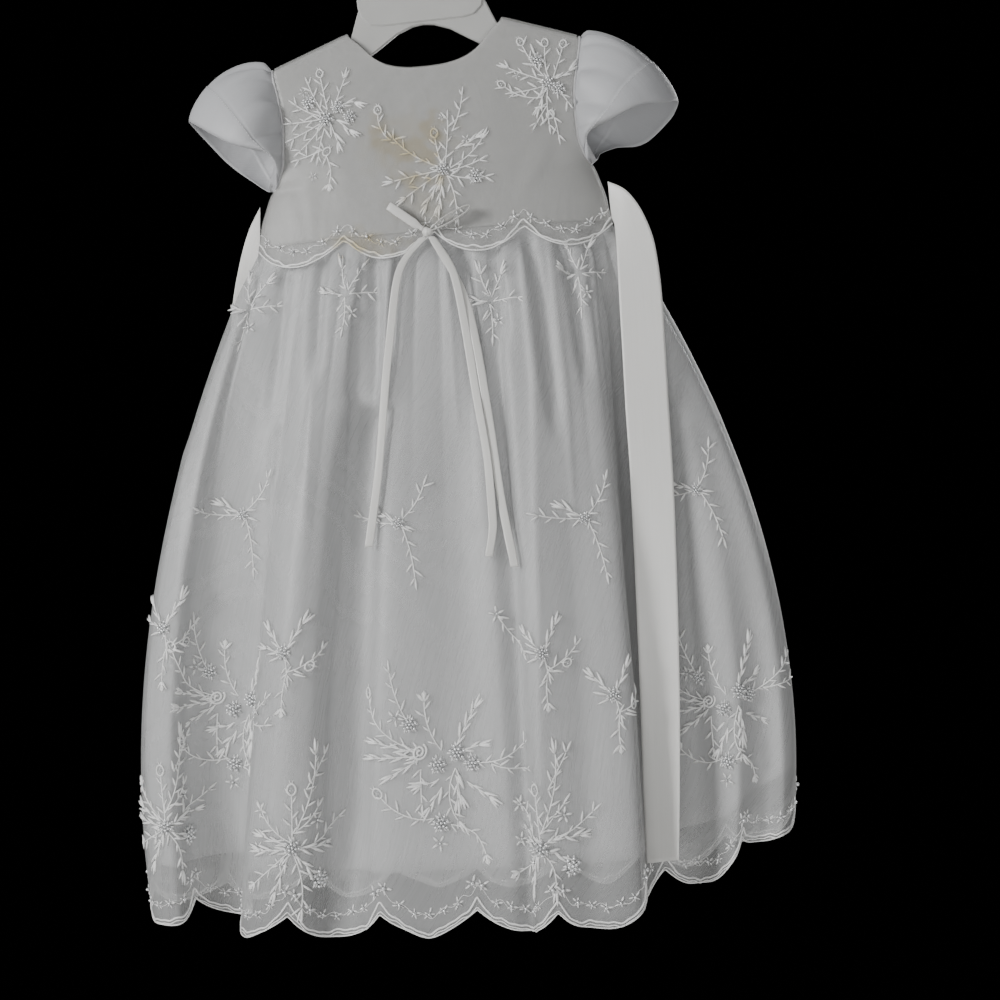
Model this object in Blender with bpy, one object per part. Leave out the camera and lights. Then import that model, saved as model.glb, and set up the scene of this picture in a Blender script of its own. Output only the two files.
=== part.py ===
"""Christening gown on a moulded baby hanger: a satin bodice with an embroidered net layer, cap sleeves,
a gathered net skirt with a scalloped hem over a satin underskirt, a ribbon sash and a small bow.

X runs to the right of the wearer's front as seen, Y to the back, Z up. The origin is where a rail bears
on the inside of the hook. Sizes are in millimetres until a mesh is made, and every mesh is in metres."""

import math

import bmesh
import bpy
import numpy as np

MM = 0.001

CLOTH = 1.2
NET = 1.0
RIBBON = 0.8
SEAM_GAP = 0.3

WAIST_Z = -268.5
UNDERARM_Z = -228.0
SHOULDER_Z = -133.0
NECK_X = 58.5
NECK_Z = -112.7
SHOULDER_X = 115.0
WAIST_X = 131.0
WAIST_Y = 24.0
TURN = 5.0
LENS = 0.75

SKIRT_LENGTH = 508.0
UNDERSKIRT_SHORTER = 45.0
HEM_SCALLOP = 70.0
HEM_SCALLOP_DEEP = 17.0
WAIST_SCALLOP_DEEP = 17.0

# How far the gown hangs askew: height, slope of the level lines in degrees.
TILT = [(-800, 0.0), (-268, 1.7), (-139, 3.4), (-100, 3.4)]

# Neckline of the front, half of it: distance from the middle, height.
NECKLINE = [(0, -144.5), (10, -144.2), (20, -142.8), (29, -139.9), (37, -135.0), (44, -128.2),
            (50, -121.5), (54.5, -116.8), (58.5, -112.7)]

# Edge of the bodice: height, half width. The side seam runs up to the underarm, then the armhole.
EDGE = [(-268.5, 131), (-252, 128.5), (-241, 125), (-228, 120), (-219, 114), (-204, 109.5),
        (-179, 108.3), (-157, 111), (-133, 115), (-110, 115)]

# Depth of the bodice from its middle plane: height, depth at the centre line.
CENTRE_DEPTH = [(-268.5, 24), (-229, 22.5), (-179, 17), (-149, 10.5), (-134, 7.5), (-113, 5.5)]

# Depth of the bodice at its edge: nothing at the side seam, then the lens of the armhole.
EDGE_DEPTH = [(-268.5, 0.15), (-228, 0.15), (-219, 5.5), (-204, 8.5), (-179, 9.5), (-157, 7.5),
              (-143, 5.5), (-138, 4.6), (-133, 4.4), (-112, 4.4)]

# Folds of the skirt, round it from the left seam: name, x at the waist, x and y at knee height,
# x and y at the hem, how much higher the hem is caught up there.
FOLDS = [
    ("left seam", -131.0, -217, 4, -238, 8, 0),
    ("left lobe", -130.4, -212, -14, -231, -19, 0),
    ("left lobe edge", -127.5, -195, -24, -212, -28, 0),
    ("left recess in", -121.0, -184, -12, -200, -8, 2),
    ("left recess", -106.0, -155, -10, -179, 2, 4),
    ("left recess out", -92.0, -132, -16, -161, -8, 2),
    ("front lobe edge", -85.0, -124, -40, -162, -52, 0),
    ("front lobe crest", -72.0, -108, -53, -145, -69, 0),
    ("front lobe right", -57.0, -92, -50, -118, -70, 0),
    ("left valley", -43.0, -77, -37, -97, -59, 0),
    ("middle left", -27.0, -50, -49, -62, -69, 0),
    ("middle valley", 8.0, 4, -42, -4, -66, 0),
    ("middle right", 30.0, 30, -49, 32, -64, 0),
    ("pleat foot", 43.0, 45, -43, 46, -61, 0),
    ("pleat edge", 50.0, 54, -55, 52, -77, -4),
    ("pleat face", 78.0, 86, -51, 86, -74, 0),
    ("pleat end", 108.0, 119, -42, 124, -66, 0),
    ("right wall", 114.0, 123, -22, 127, -22, 2),
    ("right recess", 119.0, 138, -8, 144, -1, 6),
    ("behind the sash", 124.0, 165, -12, 168, -4, 10),
    ("right lobe", 127.0, 190, -22, 194, -30, 22),
    ("right dip", 129.2, 207, -17, 212, -15, 32),
    ("right lobe front", 130.4, 218, -11, 232, -24, 38),
    ("right seam", 131.0, 225, 7, 246, 4, 36),
    ("back right lobe", 128.5, 212, 26, 226, 40, 24),
    ("back right dip", 112.0, 176, 24, 190, 38, 12),
    ("back right fold", 92.0, 140, 42, 152, 66, 4),
    ("back right valley", 66.0, 100, 36, 108, 54, 0),
    ("back middle right", 40.0, 58, 48, 62, 74, 0),
    ("back middle valley", 8.0, 12, 40, 14, 60, 0),
    ("back middle left", -26.0, -36, 49, -40, 76, 0),
    ("back left valley", -56.0, -82, 37, -88, 56, 0),
    ("back left fold", -86.0, -128, 44, -138, 70, 0),
    ("back left dip", -110.0, -170, 25, -184, 40, 0),
    ("back left lobe", -128.5, -208, 26, -222, 40, 0),
]
SEAM_LEFT = 0
SEAM_RIGHT = 23

# Where the gathers at the waist stand out, by their distance from the middle.
FRONT_GATHERS = [-131, -116, -100, -84, -70, -57, -44, -22, -4, 10, 30, 50, 68, 90, 103, 116, 131]
BACK_GATHERS = [-131, -112, -94, -80, -60, -46, -30, -12, 8, 22, 40, 58, 74, 92, 110, 131]

# Sleeve hems, from the tip at the top round the front, under the arm and up the back: place round the
# armhole, x, y, z.
SLEEVE_HEMS = {
    "left": [(0.0, -180, 0, -174), (0.1, -164, -16, -186), (0.2, -147, -25, -197),
             (0.3, -131, -25, -202), (0.4, -115.5, -14, -207), (0.5, -122.5, -1, -224),
             (0.6, -124, 9, -227), (0.72, -136, 18, -218), (0.86, -156, 20, -202), (0.94, -172, 12, -184)],
    "right": [(0.0, 187, 0, -178), (0.1, 176, -15, -182), (0.2, 156, -25, -185), (0.3, 133, -27, -195),
              (0.4, 116.5, -15, -202), (0.5, 123.0, -1, -217), (0.6, 128, 9, -211),
              (0.72, 141, 20, -205), (0.86, 163, 20, -203), (0.94, 182, 10, -188)],
}

# Right sash: left edge x, y, z, then right edge x, y, z, from the side seam down to its cut end.
SASH_RIGHT = [
    (132.4, -2.2, -262, 131.0, -2.2, -235),
    (134.0, -9, -270, 142.0, -8, -242),
    (134.0, -15, -284, 154.0, -14, -260),
    (133.6, -20, -304, 162.5, -19, -290),
    (133.2, -25, -340, 165.0, -23, -332),
    (133.2, -28, -400, 165.2, -26, -398),
    (134.0, -29, -460, 165.4, -29, -460),
    (133.6, -29, -540, 163.8, -32, -540),
    (132.8, -28, -620, 160.6, -38, -620),
    (131.8, -26, -690, 156.4, -42, -690),
    (131.6, -25, -741, 153.2, -44, -735),
]

# Left sash, which falls behind the skirt.
SASH_LEFT = [
    (-132.0, 1.9, -266, -130.5, 1.9, -240),
    (-135.0, 9, -278, -141.0, 9, -256),
    (-136.0, 18, -298, -151.0, 16, -282),
    (-135.0, 30, -330, -160.0, 27, -316),
    (-135.0, 43, -380, -165.0, 36, -370),
    (-136.0, 59, -460, -167.0, 53, -455),
    (-136.0, 72, -560, -166.0, 68, -560),
    (-135.0, 80, -660, -165.0, 78, -660),
    (-134.0, 84, -735, -164.0, 82, -742),
]

# Bow tails, each a narrow ribbon on the skirt: x and z down its middle.
TAILS = {
    "bow_tail_left": [(-8.0, -274.4), (-26, -297), (-37, -357), (-49, -448), (-58, -498)],
    "bow_tail_middle": [(-1.8, -274.4), (13, -303), (25, -393), (31, -447), (32, -484), (28, -509)],
    "bow_tail_right": [(-1.6, -274.4), (22, -327), (33, -409), (39, -469), (46, -517)],
}


def curve(table, at):
    """Reads a table of pairs at any place between them, smoothly and with no overshoot."""
    x = np.array([row[0] for row in table], float)
    y = np.array([row[1] for row in table], float)
    at = np.clip(at, x[0], x[-1])
    step = np.diff(x)
    slope = np.diff(y) / step
    tangent = np.zeros(len(x))
    same = slope[:-1] * slope[1:] > 0
    tangent[1:-1][same] = 2 * slope[:-1][same] * slope[1:][same] / (slope[:-1] + slope[1:])[same]
    tangent[0] = slope[0]
    tangent[-1] = slope[-1]
    i = np.clip(np.searchsorted(x, at, side="right") - 1, 0, len(x) - 2)
    t = (at - x[i]) / step[i]
    return (
        y[i] * (1 + 2 * t) * (1 - t) ** 2
        + tangent[i] * step[i] * t * (1 - t) ** 2
        + y[i + 1] * t * t * (3 - 2 * t)
        + tangent[i + 1] * step[i] * t * t * (t - 1)
    )


def ring(knots, values, around, at):
    """Reads rows of values round a closed ring, smoothly."""
    knots = np.asarray(knots, float)
    values = np.asarray(values, float)
    k = np.concatenate([[knots[-1] - around], knots, [knots[0] + around, knots[1] + around]])
    v = np.concatenate([values[-1:], values, values[:2]])
    at = knots[0] + np.mod(np.asarray(at, float) - knots[0], around)
    i = np.clip(np.searchsorted(k, at, side="right") - 1, 1, len(k) - 3)
    step = (k[i + 1] - k[i])[:, None]
    t = ((at - k[i])[:, None]) / step
    tangent_a = (v[i + 1] - v[i - 1]) / (k[i + 1] - k[i - 1])[:, None]
    tangent_b = (v[i + 2] - v[i]) / (k[i + 2] - k[i])[:, None]
    return (
        v[i] * (1 + 2 * t) * (1 - t) ** 2
        + tangent_a * step * t * (1 - t) ** 2
        + v[i + 1] * t * t * (3 - 2 * t)
        + tangent_b * step * t * t * (t - 1)
    )


def hang(points):
    """Sets the level lines of the gown to the slope at which it hangs."""
    points = np.array(points, float)
    heights = [row[0] for row in TILT]
    slope = np.tan(np.radians(np.interp(points[..., 2], heights, [row[1] for row in TILT])))
    points[..., 2] += points[..., 0] * slope
    return points


def unit(v):
    return v / np.maximum(np.linalg.norm(v, axis=-1, keepdims=True), 1e-9)


def grid_normals(grid, closed):
    """Normals of a grid of points, from the faces round each point."""
    rows, columns = grid.shape[:2]
    total = np.zeros_like(grid)
    across = columns if closed else columns - 1
    for j in range(across):
        a, b = grid[:-1, j], grid[:-1, (j + 1) % columns]
        c, d = grid[1:, (j + 1) % columns], grid[1:, j]
        face = unit(np.cross(c - a, d - b))
        for i, k in ((0, j), (0, (j + 1) % columns), (1, (j + 1) % columns), (1, j)):
            total[i : rows - 1 + i, k] += face
    return unit(total)


def gown_material(name, colour, roughness):
    material = bpy.data.materials.new(name)
    material.use_nodes = True
    shader = material.node_tree.nodes["Principled BSDF"]
    shader.inputs["Base Color"].default_value = (*colour, 1)
    shader.inputs["Roughness"].default_value = roughness
    return material


def add_mesh(name, points, faces, colour, roughness):
    """Makes one closed body of points in millimetres, its faces turned outwards."""
    mesh = bpy.data.meshes.new(name)
    mesh.from_pydata([tuple(p * MM) for p in points], [], faces)
    work = bmesh.new()
    work.from_mesh(mesh)
    bmesh.ops.recalc_face_normals(work, faces=work.faces)
    work.to_mesh(mesh)
    work.free()
    made = bpy.data.objects.new(name, mesh)
    mesh.materials.append(gown_material(name, colour, roughness))
    gown.objects.link(made)
    return made


def cloth_shell(name, middle, normals, thickness, colour, roughness, closed=False):
    """One thickness of cloth lofted through rows of points, half of its thickness on either side."""
    rows, columns = middle.shape[:2]
    outer = middle + normals * thickness / 2
    inner = middle - normals * thickness / 2
    points = np.concatenate([outer.reshape(-1, 3), inner.reshape(-1, 3)])
    half = rows * columns
    faces = []
    for i in range(rows - 1):
        for j in range(columns if closed else columns - 1):
            a, b = i * columns + j, i * columns + (j + 1) % columns
            c, d = b + columns, a + columns
            faces += [(a, b, c), (a, c, d)]
            faces += [(half + c, half + b, half + a), (half + d, half + c, half + a)]
    for i in (0, rows - 1):
        for j in range(columns if closed else columns - 1):
            a, b = i * columns + j, i * columns + (j + 1) % columns
            faces.append((a, b, half + b, half + a))
    if not closed:
        for j in (0, columns - 1):
            for i in range(rows - 1):
                a = i * columns + j
                b = a + columns
                faces.append((a, b, half + b, half + a))
    return add_mesh(name, points, faces, colour, roughness)


def ribbon(name, centre, half_width, thickness, colour):
    """A flat strip along a line: the half width at each point is a vector across it."""
    along = unit(np.gradient(centre, axis=0))
    flat = unit(np.cross(along, half_width))
    grid = np.stack([centre - half_width, centre + half_width], axis=1)
    return cloth_shell(name, grid, np.stack([flat, flat], axis=1), thickness, colour, 0.35)


# Start from an empty scene
for old in list(bpy.data.objects):
    bpy.data.objects.remove(old)
gown = bpy.data.collections.new("christening_gown")
bpy.context.scene.collection.children.link(gown)
guides = bpy.data.collections.new("guides")
bpy.context.scene.collection.children.link(guides)

SATIN = (0.86, 0.86, 0.85)
NET_WHITE = (0.90, 0.90, 0.89)
RIBBON_WHITE = (0.88, 0.87, 0.84)


# Bodice
def bodice_points(across, fractions, side, neck_drop=0.0, inset=0.0):
    """Points of the bodice: one column for each distance from the middle at the top edge, one row for
    each part of the way up to where the cloth turns over the shoulder, and three rows round that turn.
    The side is -1 for the front and 1 for the back."""
    u = np.asarray(across, float) / SHOULDER_X
    x_top = np.abs(np.asarray(across, float))
    x_line = x_top * (1 - inset * np.abs(u) ** 4 / SHOULDER_X)
    shoulder = NECK_Z + (SHOULDER_Z - NECK_Z) * (x_line - NECK_X) / (SHOULDER_X - NECK_X)
    drop = neck_drop * np.clip((NECK_X - x_top) / 12, 0, 1)
    top = np.where(x_top < NECK_X, curve(NECKLINE, x_top) - drop, shoulder)
    rows = [WAIST_Z + (top - TURN - WAIST_Z) * f for f in fractions]
    rows += [top - TURN / 2, top - TURN * 0.16, top]
    z = np.stack(rows)
    edge = curve(EDGE, z)
    under = np.clip((z - UNDERARM_Z) / 8, 0, 1)
    u = u * (1 - inset * under * np.abs(u) ** 4 / edge)
    x = u * edge
    side_depth = curve(EDGE_DEPTH, z)
    depth = side_depth + (curve(CENTRE_DEPTH, z) - side_depth) * (
        1 - np.minimum(np.abs(u), 1) ** 2.6
    ) ** LENS
    turned = np.clip((top - z) / TURN, 0, 1)
    over = SEAM_GAP / 2 + (depth - SEAM_GAP / 2) * np.sqrt(1 - (1 - turned) ** 2)
    depth = np.where(x_top >= NECK_X - 0.01, over, depth)
    return np.stack([x, side * depth, z], axis=-1)


def bodice_normals(points, across, side):
    """Outward normals, square to the seams so that two pieces meet edge to edge."""
    normals = grid_normals(points, False)
    normals *= np.sign(normals[:, :, 1].sum() * side)
    shoulder = np.abs(np.asarray(across)) >= NECK_X - 0.01
    normals[-1, shoulder, 1] = 0
    normals[-1, shoulder, 0] = 0.34 * np.sign(np.asarray(across)[shoulder])
    normals[-1, shoulder, 2] = 0.94
    for j in (0, -1):
        if abs(across[j]) > SHOULDER_X - 0.01:
            below = points[:, j, 2] <= UNDERARM_Z + 2
            below[-1] = False
            normals[below, j, 1] = 0
            normals[below, j, 0] = np.sign(across[j])
            above = ~below
            above[-1] = False
            normals[above, j, 0] = 0
        elif abs(across[j]) < 5:
            normals[:, j, 0] = 0
    return unit(normals)


ROWS = [0, 0.096, 0.211, 0.3103, 0.379, 0.494, 0.66, 0.81, 0.93, 1]
HALF = [9.6, 19.2, 28.7, 38, 46.5, 54.5, 58.5, 67, 76.7, 86.3, 96, 105.4, 111.5, 115]
FRONT = [-x for x in reversed(HALF)] + [0] + HALF
BACK = [0.15] + HALF

front = bodice_points(FRONT, ROWS, -1)
front_normals = bodice_normals(front, FRONT, -1)
cloth_shell("bodice_front", hang(front), front_normals, CLOTH, SATIN, 0.45)

for name, columns in (
    ("bodice_back_left", [-x for x in reversed(BACK)]),
    ("bodice_back_right", BACK),
):
    back = bodice_points(columns, ROWS, 1, neck_drop=3)
    back_normals = bodice_normals(back, columns, 1)
    cloth_shell(name, hang(back), back_normals, CLOTH, SATIN, 0.45)


# Skirt: one ring of folds read at any height
hem = np.array([(f[4], f[5]) for f in FOLDS], float)
chords = np.linalg.norm(np.roll(hem, -1, axis=0) - hem, axis=1)
AROUND = chords.sum()
KNOTS = np.concatenate([[0], np.cumsum(chords)[:-1]])
RIGHT_KNOT = KNOTS[SEAM_RIGHT]


def gather_swell(s):
    """How far the gathers stand in and out, at a part of the way down the skirt."""
    return 2.1 * np.minimum(1, s / 0.05) * np.exp(-s / 0.2)


def skirt_points(places, parts, scalloped, length, ripple=True, inset=None):
    """Points of the skirt at places round the ring and parts of the way down each of its columns."""
    values = [(f[1], f[2], f[3], f[4], f[5], f[6]) for f in FOLDS]
    waist_x, knee_x, knee_y, hem_x, hem_y, lift = ring(KNOTS, values, AROUND, places).T
    waist_x = np.clip(waist_x, -WAIST_X, WAIST_X)
    back = np.where(np.mod(places, AROUND) < RIGHT_KNOT, -1, 1)
    waist_y = back * (
        SEAM_GAP / 2 + (WAIST_Y - SEAM_GAP / 2) * (1 - np.abs(waist_x / WAIST_X) ** 2.6) ** LENS
    )
    drop = np.sqrt(SKIRT_LENGTH**2 - (hem_x - waist_x) ** 2 - (hem_y - waist_y) ** 2) - lift
    drop -= SKIRT_LENGTH - length
    reach = length / SKIRT_LENGTH
    front_phase = np.interp(waist_x, FRONT_GATHERS, np.arange(len(FRONT_GATHERS)))
    back_phase = np.interp(waist_x, BACK_GATHERS, np.arange(len(BACK_GATHERS)))
    wave = np.cos(2 * math.pi * np.where(back < 0, front_phase, back_phase))
    grid = []
    for part in parts:
        s = part * reach
        w, k, h = (s - 0.45) * (s - 1) / 0.45, s * (1 - s) / 0.2475, s * (s - 0.45) / 0.55
        x = waist_x * w + knee_x * k + hem_x * h
        y = waist_y * w + knee_y * k + hem_y * h
        down = drop - scalloped * np.clip((part - 0.8) / 0.2, 0, 1)
        grid.append(np.stack([x, y, WAIST_Z - SEAM_GAP - down * part], axis=-1))
    grid = np.array(grid)
    round_it = np.gradient(grid[:, :, :2], axis=1)
    out = unit(np.stack([round_it[..., 1], -round_it[..., 0]], axis=-1))
    for i, part in enumerate(parts):
        s = part * reach
        if ripple:
            grid[i, :, :2] += out[i] * (gather_swell(s) * wave)[:, None]
        if inset:
            # Near the waist the ring is a pointed lens, which is drawn in by scaling it.
            depth = inset(s)
            scaled = grid[i, :, :2] / np.abs(grid[i, :, :2]).max(axis=0) * (1.7 * depth, 1.25 * depth)
            lower = np.clip(s / 0.07, 0, 1)
            grid[i, :, :2] -= scaled * (1 - lower) + out[i] * depth * lower
    return grid


def even_places(start, end, count):
    """Places between two seams that are evenly apart along the hem."""
    fine = np.linspace(start, end, 2400)
    line = ring(KNOTS, hem, AROUND, fine)
    run = np.concatenate([[0], np.cumsum(np.linalg.norm(np.diff(line, axis=0), axis=1))])
    inset = SEAM_GAP / 2
    return np.interp(np.linspace(inset, run[-1] - inset, count), run, fine), run[-1]


def scallop_rise(along, pitch, deep, start=0.0):
    """How far a scalloped edge is cut up from its lowest line, at distances along it."""
    part = np.mod((along - start) / pitch, 1)
    return deep * (2 * part - 1) ** 2


def skirt_piece(name, places, parts, length, thickness, colour, roughness, **more):
    """One panel of a skirt. A column beyond each seam gives the two panels the same normals there."""
    wide = np.concatenate([[2 * places[0] - places[1]], places, [2 * places[-1] - places[-2]]])
    rise = more.pop("rise", np.zeros(len(places)))
    rise = np.concatenate([rise[:1], rise, rise[-1:]])
    grid = skirt_points(wide, parts, rise, length, **more)
    normals = grid_normals(grid, False)
    normals *= np.sign((normals[:, :, 1] * grid[:, :, 1]).sum())
    cloth_shell(name, hang(grid)[:, 1:-1], normals[:, 1:-1], thickness, colour, roughness)


SKIRT_PARTS = [0, 0.035, 0.1, 0.22, 0.38, 0.56, 0.74, 1 - UNDERSKIRT_SHORTER / SKIRT_LENGTH, 1]
UNDER_LENGTH = SKIRT_LENGTH - UNDERSKIRT_SHORTER
UNDER_PARTS = [part * SKIRT_LENGTH / UNDER_LENGTH for part in SKIRT_PARTS[:-1]]
PANELS = {"front": (KNOTS[SEAM_LEFT], RIGHT_KNOT), "back": (RIGHT_KNOT, AROUND)}

for panel, (start, end) in PANELS.items():
    _, hem_run = even_places(start, end, 2)
    scallops = round(hem_run / HEM_SCALLOP)
    places, _ = even_places(start, end, 5 * scallops + 1)
    rise = scallop_rise(np.linspace(0, scallops, len(places)), 1, HEM_SCALLOP_DEEP)
    skirt_piece(f"skirt_{panel}", places, SKIRT_PARTS, SKIRT_LENGTH, NET, NET_WHITE, 0.6, rise=rise)
    skirt_piece(
        f"underskirt_{panel}",
        places,
        UNDER_PARTS,
        UNDER_LENGTH,
        CLOTH,
        SATIN,
        0.4,
        ripple=False,
        inset=lambda s: 1.8 + gather_swell(s) + 1.6 * s,
    )


# Embroidered net over the bodice, its scalloped edge falling over the waist seam
def overlay_points(across, side, neck_drop):
    """The net lies just off the satin down to the waist, then just off the gathers of the skirt."""
    rows = ROWS[1:]
    on_bodice = bodice_points(across, rows, side, neck_drop, inset=1.8)
    normals = bodice_normals(on_bodice, across, side)
    on_bodice = on_bodice + normals * (CLOTH / 2 + SEAM_GAP + NET / 2 + 0.25)
    fine = np.linspace(*(PANELS["front"] if side < 0 else PANELS["back"]), 3000)[1:-1]
    waist = ring(KNOTS, [(f[1],) for f in FOLDS], AROUND, fine)[:, 0]
    order = np.argsort(waist)
    at_waist = np.asarray(across) / SHOULDER_X * (WAIST_X - 0.2)
    places = np.interp(at_waist, waist[order], fine[order])
    rise = scallop_rise(np.asarray(across) / SHOULDER_X * WAIST_X, WAIST_X / 2, WAIST_SCALLOP_DEEP)
    lower = []
    for share in (1, 0.5):
        below = (WAIST_SCALLOP_DEEP - rise) * share + 1.5
        rows_at = below / SKIRT_LENGTH
        column = []
        for place, part in zip(places, rows_at):
            near = np.array([place - 0.5, place, place + 0.5])
            base = skirt_points(near, [part], 0, SKIRT_LENGTH, ripple=False)[0]
            way = base[2] - base[0]
            out = unit(np.array([way[1], -way[0], 0]))
            column.append(base[1] + out * (CLOTH / 2 + SEAM_GAP + NET / 2 + 0.4 + gather_swell(part)))
        lower.append(column)
    return np.concatenate([np.array(lower), on_bodice])


def overlay(name, across, side, neck_drop=0.0):
    grid = overlay_points(across, side, neck_drop)
    normals = bodice_normals(grid, across, side)
    cloth_shell(name, hang(grid), normals, NET, NET_WHITE, 0.6)


overlay("overlay_front", FRONT, -1)
overlay("overlay_back_right", BACK, 1, neck_drop=3)
overlay("overlay_back_left", [-x for x in reversed(BACK)], 1, neck_drop=3)


# Cap sleeves, gathered into the armholes
def sleeve(name, side, hem_table):
    count = 32
    a = np.arange(count) / count
    z = UNDERARM_Z + 3.4 + (SHOULDER_Z - UNDERARM_Z - 3.4) * (1 + np.cos(2 * math.pi * a)) / 2
    depth = curve(EDGE_DEPTH, z)
    turned = np.clip((SHOULDER_Z - z) / TURN, 0, 1)
    depth = depth * np.sqrt(1 - (1 - turned) ** 2)
    y = np.where(a < 0.5, -1, 1) * depth
    y[0] = 0
    seam = np.stack([side * (curve(EDGE, z) + 0.95), y, z], axis=-1)
    seam = hang(seam)
    table = np.array(hem_table, float)
    opening = ring(table[:, 0], table[:, 1:], 1.0, a)
    up = np.clip(np.cos(2 * math.pi * a), 0, 1) ** 0.8
    bulge = np.stack([side * 5 * up, -9 * np.sin(2 * math.pi * a), 17 * up], axis=-1)
    gathers = np.cos(2 * math.pi * 9 * a) * np.clip(np.cos(2 * math.pi * a), 0, 1)
    rows = []
    for v in (0, 0.1, 0.24, 0.44, 0.66, 0.85, 1):
        swell = (4 * v * (1 - v)) ** 0.75
        out = unit(np.stack([0 * a, -np.sin(2 * math.pi * a), np.cos(2 * math.pi * a)], axis=-1))
        ripple = 1.3 * (gathers * min(1, v / 0.1) * (1 - v) ** 2)[:, None] * out
        rows.append(seam * (1 - v) + opening * v + bulge * swell + ripple)
    grid = np.array(rows)
    normals = grid_normals(grid, True)
    centre = grid.mean(axis=1, keepdims=True)
    normals *= np.sign(((grid - centre) * normals).sum())
    normals[0, :, 0] = 0
    cloth_shell(name, grid, unit(normals), CLOTH, SATIN, 0.5, closed=True)


sleeve("sleeve_left", -1, SLEEVE_HEMS["left"])
sleeve("sleeve_right", 1, SLEEVE_HEMS["right"])


# Sash ribbons, sewn into the side seams at the waist
def sash(name, table):
    table = np.array(table, float)
    part = np.linspace(0, 1, len(table))
    fine = np.linspace(0, 1, 2 * len(table) - 1)
    edges = np.stack([curve(list(zip(part, table[:, i])), fine) for i in range(6)], axis=-1)
    left, right = edges[:, :3], edges[:, 3:]
    ribbon(name, (left + right) / 2, (right - left) / 2, RIBBON, RIBBON_WHITE)


sash("sash_right", SASH_RIGHT)
sash("sash_left", SASH_LEFT)


# Bow of narrow ribbon at the middle of the waist
KNOT = np.array([-5.0, -29.75, -270.5])


def bow_loop(name, tip, across, open_by):
    """A loop of ribbon from the knot to its tip and back, standing open by a little on either side."""
    way = np.array(tip, float) - KNOT
    long = np.linalg.norm(way)
    way = way / long
    wide = np.array(across, float)
    side = np.cross(way, unit(wide))
    places = [(4.3, 0.6), (11, 1.6), (long - 8, 1.8), (long - 2, 1.1), (long, 0.0)]
    line = [KNOT + way * d + side * h * open_by for d, h in places]
    line += [KNOT + way * d - side * h * open_by for d, h in reversed(places[:-1])]
    ribbon(name, np.array(line), np.tile(wide, (len(line), 1)), 0.7, RIBBON_WHITE)


bow_loop("bow_loop_left", (-32, -31.2, -250.5), (1.6, 0, 2.5), 1.0)
bow_loop("bow_loop_right", (27, -32.2, -254.0), (0, 3.0, 0), 1.4)

bpy.ops.mesh.primitive_uv_sphere_add(segments=12, ring_count=6, radius=1, location=KNOT * MM)
knot = bpy.context.object
knot.name = "bow_knot"
knot.scale = (0.0042, 0.0026, 0.0036)
knot.data.materials.append(gown_material("bow_knot", RIBBON_WHITE, 0.35))
for collection in list(knot.users_collection):
    collection.objects.unlink(knot)
gown.objects.link(knot)


def skirt_front_depth(x, z):
    """How far forward the skirt stands at a place across it and a height."""
    fine = np.linspace(*PANELS["front"], 700)[1:-1]
    part = (WAIST_Z - z) / SKIRT_LENGTH
    row = skirt_points(fine, [part], 0, SKIRT_LENGTH, ripple=True)[0]
    near = np.abs(row[:, 0] - x) < 7
    return row[near, 1].min()


for name, line in TAILS.items():
    part = np.linspace(0, 1, len(line))
    fine = np.linspace(0, 1, 13)
    x = curve(list(zip(part, [p[0] for p in line])), fine)
    z = curve(list(zip(part, [p[1] for p in line])), fine)
    above = 1.3 if name == "bow_tail_middle" else 0
    y = [min(skirt_front_depth(a, b), skirt_front_depth(a + 6 * above, b)) for a, b in zip(x, z)]
    y = np.minimum(np.array(y) - 3.2, KNOT[1] - 3.0 * fine) - above
    across = np.array([(3.0, 0, 0)] * len(fine))
    ribbon(name, np.stack([x, y, z], axis=-1), across, 0.7, RIBBON_WHITE)


# Pearl buttons down the centre back
for name, height in (("button_top", -158.0), ("button_middle", -196.0), ("button_low", -236.0)):
    place = np.array([-5.5, curve(CENTRE_DEPTH, height) + CLOTH / 2 + SEAM_GAP + NET + 2.7, height])
    bpy.ops.mesh.primitive_uv_sphere_add(segments=12, ring_count=6, radius=1, location=hang(place) * MM)
    button = bpy.context.object
    button.name = name
    button.scale = (0.0036, 0.0018, 0.0036)
    button.data.materials.append(gown_material(name, (0.92, 0.91, 0.88), 0.2))
    for collection in list(button.users_collection):
        collection.objects.unlink(button)
    gown.objects.link(button)


# Hanger: one moulding of flat arms, a raised plate and a hook
HANGER_TILT = math.radians(3.4)
HANGER_PIVOT = (0.0, -124.0)
HANGER_EDGE = [
    (0, -74), (36, -74), (43, -78), (45.5, -86), (46, -92), (49, -99), (52, -107), (54.8, -114.0),
    (57.5, -117.6), (62, -116.4), (68, -117.5), (84, -123.2), (98, -128.3), (106, -131.6),
    (109.4, -135.4), (109.2, -140), (105.5, -144), (94, -147), (76, -145.5), (58, -141), (48, -134.5),
    (42, -129.5), (33, -124), (20, -115.5), (8, -111), (0, -110),
]
PLATE_EDGE = [
    (0, -76), (40, -76), (45, -78.5), (47.5, -84), (47.5, -93), (45.5, -101), (39, -107), (30, -108.5),
    (0, -108.5),
]


def turned_by_tilt(x, z):
    dx, dz = x - HANGER_PIVOT[0], z - HANGER_PIVOT[1]
    c, s = math.cos(HANGER_TILT), math.sin(HANGER_TILT)
    return HANGER_PIVOT[0] + dx * c - dz * s, HANGER_PIVOT[1] + dx * s + dz * c


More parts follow.
